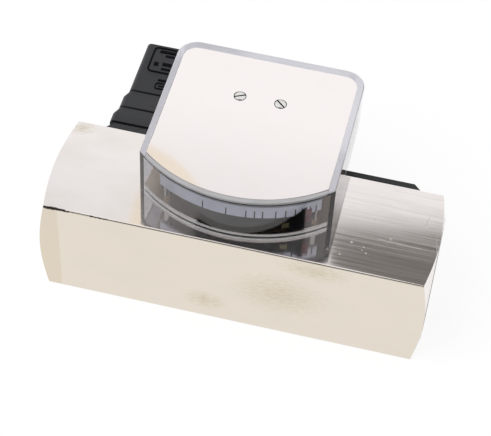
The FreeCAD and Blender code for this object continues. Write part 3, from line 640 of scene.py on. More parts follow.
# Drawn spring wire: darker grey, smooth
SPRING_WIRE = SheetMetal("drawn_spring_wire", "#9A999B", 0.25, line_width=0.2, line_length=2.0)
# Turned brass: yellow metal with rings
BRASS_X = TurnedMetal("turned_brass_along_bore", "#D9BC78", 0.22)
BRASS_Z = TurnedMetal("turned_brass_upright", "#D6B671", 0.24, axis=Axis.Z,
                      centre=(*PIVOT, 0.0))
# Rolled brass sheet of the pointer arm
BRASS_SHEET = SheetMetal("rolled_brass_sheet", "#D8B970", 0.24, line_width=0.25, line_length=8.0,
                         bloom_colour="#A98B4E", relief=1.0)
# Dulled brass of the clip beside the blade: greenish, nearly matt
AGED_BRASS = SheetMetal("dulled_brass_clip", "#8E875F", 0.5, line_width=0.25, line_length=3.0,
                        bloom_colour="#7F7848", relief=1.0)
# Polished aluminium round the dial's floor: a greyish mirror
POLISHED_FLOOR = SheetMetal("polished_aluminium", "#C6BFB6", 0.08, bloom_colour="#AFA599",
                            relief=0.15)
# The floor's top, rubbed satin: warm and soft
DIAL_FLOOR = SheetMetal("satin_dial_floor", "#C9B193", 0.32, bloom_colour="#A68D6C", relief=0.6)
# Bright heads of the cover's screws, and the near black painted shade in their slots
BRIGHT_HEADS = SheetMetal("bright_screw_heads", "#E6E4E1", 0.22, line_width=0.4, line_length=2.5,
                          relief=0.8)
SLOT_SHADE = SheetMetal("painted_shade_in_slots", "#0F0E0D", 0.6, line_width=0.3, line_length=1.0,
                        relief=2.0)
# Natural anodised aluminium: pale grey, satin
ALUMINIUM = SheetMetal("anodised_aluminium", "#B4ADA6", 0.20, line_width=0.3, line_length=12.0,
                       relief=1.0)
# Sintered ferrite: near black, slightly sparkling
FERRITE = Moulded("sintered_ferrite", "#2B2B2D", 0.45, grain=0.25, depth=15.0,
                  mottle_colour="#3A3A3C")
# Printed aluminium strip: white lacquer with a lavender cast
STRIP = Moulded("lacquered_scale_strip", "#E3E2EA", 0.35, grain=0.5, depth=1.0,
                mottle_colour="#D6D6E0", mottle=0.3)
# Screen printing ink of the ticks: black, matt
TICK_INK = Moulded("black_scale_print", "#050506", 0.7, grain=0.2, depth=2.0,
                   mottle_colour="#0C0C0E", gloss=0.1)
# Dull matt black of the pointer's blade, and of the plug's raised relief, where it is painted
# shade for the dark lines round the relief
BLADE_BLACK_AND_RELIEF_SHADE = Moulded("matt_black_and_painted_relief_shade", "#060607", 0.8, mottle_colour="#0B0B0D", gloss=0.12)
# Clear cast acrylic: a trace of grey through its thickness
ACRYLIC = ClearPlastic("cast_clear_acrylic", "#E6E7EC", 0.0)
# Acrylic as the milling cutter left it: scattered and lavender grey; the copy along the front is
# darker, painted shade of the front rim
MILLED_ACRYLIC = ClearPlastic("milled_acrylic_rim", "#DAD9E0", 0.34, shade_colour="#CFCED6",
                              wave=10.0, clearness=0.3)
SHADED_MILLED_FRONT = ClearPlastic("milled_acrylic_front_rim_painted_shade", "#CDCCCE", 0.34, shade_colour="#BDBCBE",
                            wave=10.0, clearness=0.3)
# Reed switch tube: green tinted glass
REED_GLASS = ClearPlastic("green_reed_glass", "#CFE6D6", 0.0, refraction=1.52,
                          shade_colour="#B9D8C4")
# Glass-filled polyamide: near black, fine spark-eroded grain
BLACK_POLYAMIDE = Moulded("black_glass_filled_polyamide", "#15161A", 0.44, mottle_colour="#222328")
# The same moulding on the plug, with painted shade in the two corners where its steps begin
PLUG_POLYAMIDE = Moulded(
    "black_stepped_moulding", "#16171C", 0.46, mottle_colour="#1F2026",
    shaded_creases=(Mark((-42.0, 45.9, 31.5), (40.0, 0.75, 3.0)),
             Mark((-42.0, 36.6, 32.5), (40.0, 0.75, 3.0))))
# Inner mouldings of the plug: mid grey, satin
GREY_POLYAMIDE = Moulded("grey_moulded_polyamide", "#6E7072", 0.45, mottle_colour="#7C7E80")
# Nitrile rubber: black, dull
RUBBER = Moulded("nitrile_rubber", "#191919", 0.62, grain=0.5, depth=20.0, mottle_colour="#222222")
# Red stove lacquer of the marker
RED_LACQUER = Moulded("red_stove_lacquer", "#7A0A0E", 0.40, grain=0.6, depth=3.0,
                      mottle_colour="#4C1011", mottle=0.5, gloss=0.3)
# Circuit board: green solder resist, satin
BOARD = BoardLaminate("solder_resist_on_laminate", "#17552E", 0.35)


# Modelling

def pick_only(*pieces: Piece) -> None:
    """Select these pieces and nothing else, the first of them active."""
    bpy.ops.object.select_all(action="DESELECT")
    for piece in pieces:
        piece.select_set(True)
    bpy.context.view_layer.objects.active = pieces[0]


def edit(piece: Piece, part: Part, test: Test) -> None:
    """Enter edit mode with some of a piece's elements picked by their place.

    Args:
        piece: Piece to edit.
        part: Kind of element to pick.
        test: Takes an element's centre and normal, and says whether it is picked.
    """
    pick_only(piece)
    bpy.ops.object.mode_set(mode="EDIT")
    bpy.ops.mesh.select_mode(type=part.value)
    bpy.ops.mesh.select_all(action="DESELECT")
    bpy.ops.object.mode_set(mode="OBJECT")
    mesh = piece.data
    if part is Part.FACES:
        for face in mesh.polygons:
            face.select = test(face.center, face.normal)
    elif part is Part.EDGES:
        for edge in mesh.edges:
            ends = [mesh.vertices[i].co for i in edge.vertices]
            edge.select = test((ends[0] + ends[1]) / 2, (ends[1] - ends[0]).normalized())
    else:
        for vertex in mesh.vertices:
            vertex.select = test(vertex.co, vertex.normal)
    bpy.ops.object.mode_set(mode="EDIT")


def leave() -> None:
    """Go back to object mode."""
    bpy.ops.object.mode_set(mode="OBJECT")


def everything(_centre: Vector, _normal: Vector) -> bool:
    """Pick every element."""
    return True


def modify(piece: Piece, kind: str, **settings: Any) -> None:
    """Add a modifier to a piece and apply it.

    Args:
        piece: Piece to change.
        kind: The modifier's type name.
        **settings: Properties of the modifier.
    """
    pick_only(piece)
    modifier = piece.modifiers.new(kind.lower(), kind)
    for key, value in settings.items():
        setattr(modifier, key, value)
    bpy.ops.object.modifier_apply(modifier=modifier.name)


def close_ends(piece: Piece) -> None:
    """Fill the open ends of a swept tube and turn its faces outwards."""
    edit(piece, Part.VERTICES, everything)
    bpy.ops.mesh.select_all(action="DESELECT")
    bpy.ops.mesh.select_non_manifold()
    bpy.ops.mesh.edge_face_add()
    bpy.ops.mesh.select_all(action="SELECT")
    bpy.ops.mesh.normals_make_consistent(inside=False)
    leave()


def round_edges(piece: Piece, radius: float, limit: float = 30.0) -> None:
    """Break a piece's edges.

    Args:
        piece: Piece to change.
        radius: Radius of the broken edges in millimetres.
        limit: Angle in degrees above which an edge is broken.
    """
    modify(piece, "BEVEL", width=radius * MM, segments=2, limit_method="ANGLE",
           angle_limit=math.radians(limit))


def wind(piece: Piece, turns: int, pitch: float, steps: int) -> None:
    """Wind an outline round the X axis as a helix with closed ends.

    Args:
        piece: Piece that holds the outline.
        turns: Turns of the helix.
        pitch: Rise of one turn in metres.
        steps: Steps of one turn.
    """
    modify(piece, "SCREW", axis="X", angle=math.tau * turns, iterations=1,
           screw_offset=pitch * turns, steps=steps * turns, render_steps=steps * turns,
           use_merge_vertices=False)
    close_ends(piece)


def add_shape(operator: Callable, **settings: Any) -> Piece:
    """Add a primitive mesh and nothing else to the selection.

    Args:
        operator: Blender's operator that adds it.
        **settings: The operator's settings.

    Returns:
        The new piece.
    """
    bpy.ops.object.select_all(action="DESELECT")
    operator(**settings)
    return bpy.context.object


def add_box(size: Sequence[float], centre: Sequence[float]) -> Piece:
    """Add a box.

    Args:
        size: Lengths along X, Y and Z in millimetres.
        centre: Its middle in millimetres.

    Returns:
        The box, with its size in its mesh.
    """
    box = add_shape(bpy.ops.mesh.primitive_cube_add, size=1.0, location=[c * MM for c in centre])
    box.scale = [s * MM for s in size]
    set_down(box)
    return box


def flat_distance(place: Vector, centre: Sequence[float]) -> float:
    """Return a place's distance in millimetres from an upright axis at a centre in millimetres."""
    return math.hypot(place.x / MM - centre[0], place.y / MM - centre[1])


def join(name: str, pieces: Sequence[Piece]) -> Piece:
    """Join pieces into one object and give it a name."""
    pick_only(*pieces)
    bpy.ops.object.join()
    pieces[0].name = name
    return pieces[0]


def set_down(piece: Piece) -> None:
    """Move a piece's place, turn and size into its mesh."""
    pick_only(piece)
    bpy.ops.object.transform_apply(location=True, rotation=True, scale=True)


def copy_of(piece: Piece, move: Matrix) -> Piece:
    """Copy a piece with its own mesh and move the copy.

    Args:
        piece: Piece to copy.
        move: Matrix that takes the mesh to its new place.

    Returns:
        The copy.
    """
    made = bpy.data.objects.new(piece.name, piece.data.copy())
    bpy.context.collection.objects.link(made)
    made.data.transform(move)
    return made


def hand_over(piece: Piece, name: str, finish: Finish, body: Body = Body.METER,
              stands_for: Iterable[str] = (), crease: float = 30.0) -> Piece:
    """Finish a new piece: its place, shading, material and body.

    Args:
        piece: Piece to finish.
        name: The piece's name.
        finish: Finish that it gets.
        body: Body that the piece rides on.
        stands_for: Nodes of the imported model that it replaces.
        crease: Angle in degrees above which an edge stays sharp.

    Returns:
        The finished piece.
    """
    set_down(piece)
    bpy.ops.object.shade_smooth_by_angle(angle=math.radians(crease))
    modify(piece, "WEIGHTED_NORMAL", keep_sharp=True, weight=80)
    piece.name = name
    piece.data.name = name
    piece.data.materials.clear()
    piece.data.materials.append(finish.material())
    for node in stands_for:
        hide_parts(node)
    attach(piece, body.value)
    LOG.info("%s: %d faces, %s", name, len(piece.data.polygons), finish.title)
    return piece


def resurface(node: str, finish: Finish, body: Body = Body.METER,
              crease: float = 30.0, rounding: float = 0.0) -> Piece:
    """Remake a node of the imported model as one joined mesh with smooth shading.

    Args:
        node: The node's name.
        finish: Finish that it gets.
        body: Body that the piece rides on.
        crease: Angle in degrees above which an edge stays sharp.
        rounding: Radius of the broken edges in millimetres, or zero to leave them sharp.

    Returns:
        The new piece, which stands for the node.
    """
    piece = copy_node(node)
    if rounding:
        round_edges(piece, rounding, NODE_EDGE_LIMIT)
    return hand_over(piece, node + "_finished", finish, body, (node,), crease)


def copy_node(node: str) -> Piece:
    """Copy a node, merge its loose triangles and take out the lines inside its flat faces.

    Args:
        node: The node's name.

    Returns:
        The copy.
    """
    piece = bpy.data.objects.new(node + "_finished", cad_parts[node].data.copy())
    bpy.context.collection.objects.link(piece)
    pick_only(piece)
    bpy.ops.mesh.customdata_custom_splitnormals_clear()
    edit(piece, Part.VERTICES, everything)
    bpy.ops.mesh.remove_doubles(threshold=SAME_PLACE)
    bpy.ops.mesh.normals_make_consistent(inside=False)
    bpy.ops.mesh.dissolve_limited(angle_limit=math.radians(SAME_PLANE))
    leave()
    return piece


def second_finish(piece: Piece, finish: Finish, test: Test) -> None:
    """Give some of a piece's faces another finish.

    Args:
        piece: Finished piece.
        finish: The other finish.
        test: Takes a face's centre and normal, and says whether it gets the finish.
    """
    piece.data.materials.append(finish.material())
    edit(piece, Part.FACES, test)
    piece.active_material_index = len(piece.data.materials) - 1
    bpy.ops.object.material_slot_assign()
    leave()


def dress(node: str, finish: Finish) -> None:
    """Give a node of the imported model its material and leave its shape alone."""
    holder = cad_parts[node]
    holder.data.materials.clear()
    holder.data.materials.append(finish.material())
    LOG.info("%s: carried over, %s", node, finish.title)


# Sub-assemblies

@dataclass
class Studio:
    """The pale floor, the soft light, the reflected cards and the camera."""

    floor_size: float = 8.0
    floor_glow: float = 0.90
    floor_colour: str = "#5C5C5C"
    sky_for_diffuse: float = 0.5
    key_place: tuple[float, float, float] = (-0.7, -0.6, 1.5)
    key_power: float = 22.0
    key_size: float = 1.4
    # Where the haze card's glow starts and ends, as shares of its depth. Its own Y axis points to
    # the front, because a level card hangs turned half round.
    haze_span: tuple[float, float] = (0.5, -0.45)
    disc_place: tuple[float, float, float] = (-0.1461, 0.2784, 0.449)
    disc_radius: float = 0.0663
    disc_left: float = -0.136
    camera_place: tuple[float, float, float] = (0.0681, -0.3489, 0.4527)
    camera_right: tuple[float, float, float] = (0.9715, 0.2341, 0.0378)
    camera_up: tuple[float, float, float] = (-0.2029, 0.7381, 0.6435)
    camera_lens: float = 121.85

    def build(self) -> None:
        """Set up floor, world, lamp, cards and camera."""
        bpy.context.scene.view_settings.view_transform = "Standard"
        self.lay_floor()
        self.light()
        self.hang_cards()
        self.aim_camera()

    def glow(self, name: str, colour: Sequence[float], strength: float) -> Material:
        """Return a plain glowing material."""
        made = empty_material(name)
        lamp = add_node(made.node_tree, "ShaderNodeEmission", {
            "Color": colour, "Strength": strength})
        add_node(made.node_tree, "ShaderNodeOutputMaterial", {"Surface": lamp.outputs[0]})
        return made

    def seen_directly(self, tree: Tree) -> Socket:
        """Return one for rays from the camera, a mirror or through glass, else zero."""
        path = add_node(tree, "ShaderNodeLightPath").outputs
        mirror = combine(tree, "MAXIMUM", path["Is Camera Ray"], path["Is Glossy Ray"])
        return combine(tree, "MAXIMUM", mirror, path["Is Transmission Ray"])

    def lay_floor(self) -> None:
        """Add a white floor that glows only to the eye, so that it keeps the contact shadow."""
        floor = add_shape(bpy.ops.mesh.primitive_plane_add, size=self.floor_size)
        floor.name = "studio_floor"
        made = empty_material("white_studio_floor")
        tree = made.node_tree
        paint = add_node(tree, "ShaderNodeBsdfDiffuse", {"Color": linear(self.floor_colour)})
        share = combine(tree, "MULTIPLY", self.seen_directly(tree), self.floor_glow)
        lamp = add_node(tree, "ShaderNodeEmission", {"Color": WHITE, "Strength": share})
        both = add_node(tree, "ShaderNodeAddShader", {0: paint.outputs[0], 1: lamp.outputs[0]})
        add_node(tree, "ShaderNodeOutputMaterial", {"Surface": both.outputs[0]})
        floor.data.materials.append(made)

    def light(self) -> None:
        """Add the white world and one large soft lamp."""
        world = bpy.data.worlds.new("white_studio")
        bpy.context.scene.world = world
        world.use_nodes = True
        tree = world.node_tree
        tree.nodes.clear()
        level = remap(tree, self.seen_directly(tree), 0.0, 1.0, self.sky_for_diffuse, 1.0)
        sky = add_node(tree, "ShaderNodeBackground", {"Color": WHITE, "Strength": level})
        add_node(tree, "ShaderNodeOutputWorld", {"Surface": sky.outputs[0]})
        bpy.ops.object.light_add(type="AREA", location=self.key_place)
        key = bpy.context.object
        key.data.energy = self.key_power
        key.data.size = self.key_size
        key.rotation_euler = (-Vector(self.key_place)).to_track_quat("-Z", "Y").to_euler()
        key.visible_glossy = False
        key.visible_transmission = False

    def hang_cards(self) -> None:
        """Hang the dark and bright cards that only the polished faces show."""
        grey = self.glow("dark_card", (0.17, 0.16, 0.15, 1.0), 1.0)
        black = self.glow("black_card", (0.012, 0.012, 0.012, 1.0), 1.0)
        tan = self.glow("tan_card", linear("#F2E9D8"), 1.0)
        haze = self.fading_glow("haze_card", near=0.78)
        self.hang("upper_card", grey, centre=(0.2783, 0.2155, 0.45), size=(0.516, 0.36),
                  facing=(0.0, 0.0, 1.0), turn=11.3)
        self.hang("haze_card", haze, centre=(0.0, 0.325, 0.455), size=(0.9, 0.15),
                  facing=(0.0, 0.0, 1.0))
        self.hang_disc("tan_card", tan)
        self.hang("front_edge_card", black, centre=(0.0, -1.2, 0.22), size=(2.4, 0.16),
                  facing=(0.0, 1.0, 0.0))
        self.hang("camera_card", black, centre=(0.06, -0.42, 0.54), size=(0.75, 0.45),
                  facing=(-0.12, 0.63, -0.76))

    def fading_glow(self, name: str, near: float) -> Material:
        """Return a glow that grows from a card's front edge to its back edge.

        Args:
            name: The material's name.
            near: Level at the front edge.

        Returns:
            The glowing material.
        """
        made = self.glow(name, WHITE, 1.0)
        tree = made.node_tree
        level = remap(tree, own_axis(tree, Axis.Y), *self.haze_span, near, 1.0)
        lamp = next(node for node in tree.nodes if node.bl_idname == "ShaderNodeEmission")
        tree.links.new(level, lamp.inputs["Strength"])
        return made

    def hang_disc(self, name: str, material: Material) -> None:
        """Add the warm round card whose edge shows in the cover plate's corner."""
        card = add_shape(bpy.ops.mesh.primitive_circle_add, vertices=96, radius=self.disc_radius,
                         fill_type="NGON", location=self.disc_place)
        card.name = name
        set_down(card)
        edit(card, Part.VERTICES, lambda place, _normal: place.x < self.disc_left)
        bpy.ops.transform.resize(value=(0.0, 1.0, 1.0), center_override=(self.disc_left, 0.0, 0.0))
        leave()
        self.hide_card(card, material)

    def hang(self, name: str, material: Material, centre: Sequence[float],
             size: Sequence[float], facing: Sequence[float], turn: float = 0.0) -> None:
        """Add one card that only mirrors see.

        Args:
            name: The card's name.
            material: Its glowing material.
            centre: Middle of the card.
            size: Width and depth.
            facing: Direction of its normal.
            turn: Turn about the upright axis in degrees, for a level card.
        """
        card = add_shape(bpy.ops.mesh.primitive_plane_add, size=1.0, location=centre)
        card.name = name
        card.scale = (size[0], size[1], 1.0)
        card.rotation_euler = Vector(facing).to_track_quat("Z", "Y").to_euler()
        card.rotation_euler.z += math.radians(turn)
        self.hide_card(card, material)

    def hide_card(self, card: Piece, material: Material) -> None:
        """Give a card its glow and let only mirrors see it."""
        card.data.materials.append(material)
        for kind in ("camera", "diffuse", "transmission", "shadow", "volume_scatter"):
            setattr(card, "visible_" + kind, False)

    def aim_camera(self) -> None:
        """Place the camera as the photograph's fitted view."""
        right, up = Vector(self.camera_right), Vector(self.camera_up)
        columns = Matrix((right, up, right.cross(up))).transposed()
        data = bpy.data.cameras.new("product_camera")
        data.lens = self.camera_lens
        data.sensor_width = 36.0
        camera = bpy.data.objects.new("product_camera", data)
        camera.matrix_world = Matrix.Translation(self.camera_place) @ columns.to_4x4()
        bpy.context.collection.objects.link(camera)
        bpy.context.scene.camera = camera


@dataclass
class MeterBody:
    """The plated square bar with its two threaded ports."""

    thread_pitch: float = 2.309
    thread_crest: float = 15.15
    thread_root: float = 16.66
    root_share: float = 0.46
    crest_share: float = 0.12
    thread_turns: int = 7
    steps_per_turn: int = 48
    port_start: float = 46.0
    mouth_radius: float = 17.9
    half_length: float = 64.95

    def build(self) -> None:
        """Make the body and the threads of its two ports."""
        body = resurface("body_block", BODY_PLATE)
        # Painted shade: the ports and the bore take a darker plate for the shade inside them
        second_finish(body, SHADED_PORT_PLATE, self.in_port)
        for name, side in (("inlet_thread", 1), ("outlet_thread", -1)):
            self.cut_thread(name, side)

    def in_port(self, centre: Vector, _normal: Vector) -> bool:
        """Say whether a face lies in the ports or the bore between them."""
        return (math.hypot(centre.y, centre.z - BORE_HEIGHT * MM) < self.mouth_radius * MM
                and abs(centre.x) < self.half_length * MM)

    def cut_thread(self, name: str, side: int) -> None:
        """Add the inner pipe thread of one port.

        Args:
            name: The piece's name.
            side: 1 for the inlet at +X, -1 for the outlet.
        """
        half_root = self.thread_pitch * self.root_share * MM
        crest_flat = self.thread_pitch * self.crest_share * MM
        ridge = add_shape(bpy.ops.mesh.primitive_plane_add, size=2.0)
        ridge.scale = (half_root, (self.thread_root - self.thread_crest) / 2 * MM, 1.0)
        set_down(ridge)
        edit(ridge, Part.VERTICES, lambda place, _normal: place.y < 0)
        bpy.ops.transform.resize(value=(crest_flat / half_root, 1.0, 1.0))
        leave()
        middle = (self.thread_root + self.thread_crest) / 2 * MM
        ridge.data.transform(Matrix.Translation((self.port_start * MM + half_root, middle, 0.0)))
        edit(ridge, Part.FACES, everything)
        bpy.ops.mesh.delete(type="ONLY_FACE")
        leave()
        wind(ridge, self.thread_turns, self.thread_pitch * MM, self.steps_per_turn)
        if side < 0:
            ridge.data.transform(Matrix.Rotation(math.pi, 4, "Z"))
        ridge.data.transform(Matrix.Translation((0.0, 0.0, BORE_HEIGHT * MM)))
        # The threads take the same painted shade as the ports
        hand_over(ridge, name, SHADED_PORT_PLATE)


@dataclass
class FlowGroup:
    """The float with its magnet, and the rod, guides, sleeve and spring that it works in."""

    coil_radius: float = 4.2
    wire_radius: float = 0.4
    wire_sides: int = 10
    turns: int = 8
    steps_per_turn: int = 40
    travel: float = 24.7

    def build(self) -> None:
        """Dress the turned pieces and wind the spring."""
        for node, rounding in (("inlet_guide", 0.12), ("outlet_guide", 0.12), ("guide_rod", 0.0),
                               ("rod_nuts", 0.12)):
            resurface(node, STAINLESS_X, rounding=rounding)
        resurface("retaining_rings", SPRING_WIRE, rounding=0.1)
        resurface("metering_sleeve", BRASS_X)
        resurface("float_body", BRASS_X, Body.FLOAT)
        resurface("float_magnet", FERRITE, Body.FLOAT, rounding=0.3)
        resurface("float_nut", STAINLESS_X, Body.FLOAT)
        self.wind_spring()

    def wind_spring(self) -> None:
        """Wind the return spring as a round wire."""
        low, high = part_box("return_spring")
        length = high.x - low.x
        pitch = (length - 2 * self.wire_radius * MM) / self.turns
        wire = add_shape(bpy.ops.mesh.primitive_circle_add, vertices=self.wire_sides,
                         radius=self.wire_radius * MM)
        wire.data.transform(Matrix.Translation((0.0, self.coil_radius * MM, 0.0)))
        wind(wire, self.turns, pitch, self.steps_per_turn)
        wire.data.transform(Matrix.Translation(
            (low.x + self.wire_radius * MM, 0.0, BORE_HEIGHT * MM)))
        spring = hand_over(wire, "return_spring_wire", SPRING_WIRE,
                           stands_for=("return_spring",), crease=60.0)
        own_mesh(spring)


@dataclass(frozen=True)
class Paddle:
    """A thin blade of the pointer, drawn as it points to the front, in millimetres.

    Attributes:
        name: The piece's name.
        left: Left edge, measured round the arc from the pointer's middle line.
        right: Right edge, measured the same way.
        bottom: Height of its lower edge.
        top: Height of its upper edge.
        reach: Distances of its outer and inner faces from the pivot.
        slope: Drop of the upper edge on its left.
        finish: Its finish.
        slot: Slot of the record that the finish belongs to; not used.
    """

    name: str
    left: float
    right: float
    bottom: float
    top: float
    reach: tuple[float, float]
    slope: float
    finish: Finish
    slot: Slot


@dataclass
class Dial:
    """The plate, pillars, pointer and scale inside the hood."""

    rest_angle: float = 27.3
    # The blades run in the 0.56 mm between the ticks (43.64 mm from the arc's centre) and the
    # hood's inner wall (44.2 mm). The pivot stands 1.6 mm in front of that centre.
    paddles: tuple[Paddle, ...] = (
        Paddle("pointer_blade", -0.85, 4.22, 42.7, 52.6, (42.43, 42.28), 4.8, BLADE_BLACK_AND_RELIEF_SHADE,
               Slot.BLACK_POLYAMIDE),
        Paddle("pointer_web", 0.65, 2.85, 44.3, 45.5, (42.33, 40.0), 0.0, BLACK_POLYAMIDE,
               Slot.BLACK_POLYAMIDE),
        Paddle("marker_blade", 4.24, 6.37, 45.45, 51.45, (42.50, 42.37), 0.3, RED_LACQUER,
               Slot.RED),
        Paddle("blade_clip", -3.15, -0.87, 44.25, 46.85, (42.43, 42.30), 0.9, AGED_BRASS,
               Slot.BRASS))
    blade_edge: float = 0.04
    strip_radius: float = 43.6
    tick_angles: tuple[float, ...] = (
        -11.1, -1.0, 7.3, 10.8, 14.1, 19.5, 23.6, 27.6, 30.5, 32.3, 34.0, 36.6)
    tick_width: float = 0.38
    tick_height: float = 3.2
    tick_print: float = 0.04
    tick_corner: float = 0.02

    def build(self) -> None:
        """Dress the dial's pieces and print the scale."""
        dress("base_gasket", RUBBER)
        floor = resurface("base_plate", POLISHED_FLOOR)
        second_finish(floor, DIAL_FLOOR, lambda _centre, normal: normal.z > 0.9)
        resurface("base_plate_screws", STAINLESS_SMALL)
        resurface("pillars", ALUMINIUM)
        resurface("bearing_bridge", ALUMINIUM, rounding=0.1)
        resurface("pivot_bushes", BRASS_Z)
        for node, finish, slot, rounding in (
                ("pointer_arbor", STAINLESS_Z, Slot.STAINLESS, 0.0),
                ("pointer_hub", BRASS_Z, Slot.BRASS, 0.1),
                ("pointer_arm", BRASS_SHEET, Slot.BRASS, 0.1),
                ("counterweight", BRASS_SHEET, Slot.BRASS, 0.2),
                ("follower_magnet", FERRITE, Slot.FERRITE, 0.2),
                ("pointer_flag", BLACK_POLYAMIDE, Slot.BLACK_POLYAMIDE, 0.2),
                ("pointer_marker", RED_LACQUER, Slot.RED, 0.15)):
            resurface(node, finish, Body.POINTER, rounding=rounding)
        resurface("scale_strip", STRIP)
        resurface("scale_posts", ALUMINIUM)
        self.print_ticks()
        for paddle in self.paddles:
            self.add_paddle(paddle)

    def add_paddle(self, paddle: Paddle) -> None:
        """Add one thin blade of the pointer that passes in front of the scale.

        Args:
            paddle: The blade's sizes and finish.
        """
        far, near = paddle.reach
        blade = add_box((paddle.right - paddle.left, far - near, paddle.top - paddle.bottom),
                        (0.0, -(far + near) / 2, (paddle.bottom + paddle.top) / 2))
        edit(blade, Part.VERTICES, lambda place, _normal: place.z > (paddle.top - 0.1) * MM
             and place.x < 0.0)
        bpy.ops.transform.translate(value=(0.0, 0.0, -paddle.slope * MM))
        leave()
        round_edges(blade, self.blade_edge)
        # Each blade is turned to its own place, so its flat face follows the arc of the wall.
        turn = math.radians(self.rest_angle) + (paddle.left + paddle.right) / 2 / far
        blade.data.transform(Matrix.Translation((PIVOT[0] * MM, PIVOT[1] * MM, 0.0))
                             @ Matrix.Rotation(turn, 4, "Z"))
        hand_over(blade, paddle.name, paddle.finish, Body.POINTER)

    def print_ticks(self) -> None:
        """Print one tick on the strip's outer face and copy it round the strip."""
        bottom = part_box("scale_strip")[0].z
        tick = add_box((self.tick_width, 2 * self.tick_print, self.tick_height),
                       (0.0, 0.0, 0.0))
        edit(tick, Part.EDGES, lambda _place, along: abs(along.z) > 0.9)
        bpy.ops.mesh.bevel(offset=self.tick_corner * MM, segments=2)
        leave()
        centre = Vector((ARC_CENTRE[0] * MM, ARC_CENTRE[1] * MM, 0.0))
        start = Matrix.Translation(
            (0.0, -self.strip_radius * MM, bottom + self.tick_height / 2 * MM))
        copies = []
        for angle in self.tick_angles:
            turn = Matrix.Rotation(math.radians(angle), 4, "Z")
            copies.append(copy_of(tick, Matrix.Translation(centre) @ turn @ start))
        bpy.data.objects.remove(tick)
        hand_over(join("scale_ticks", copies), "scale_ticks", TICK_INK)


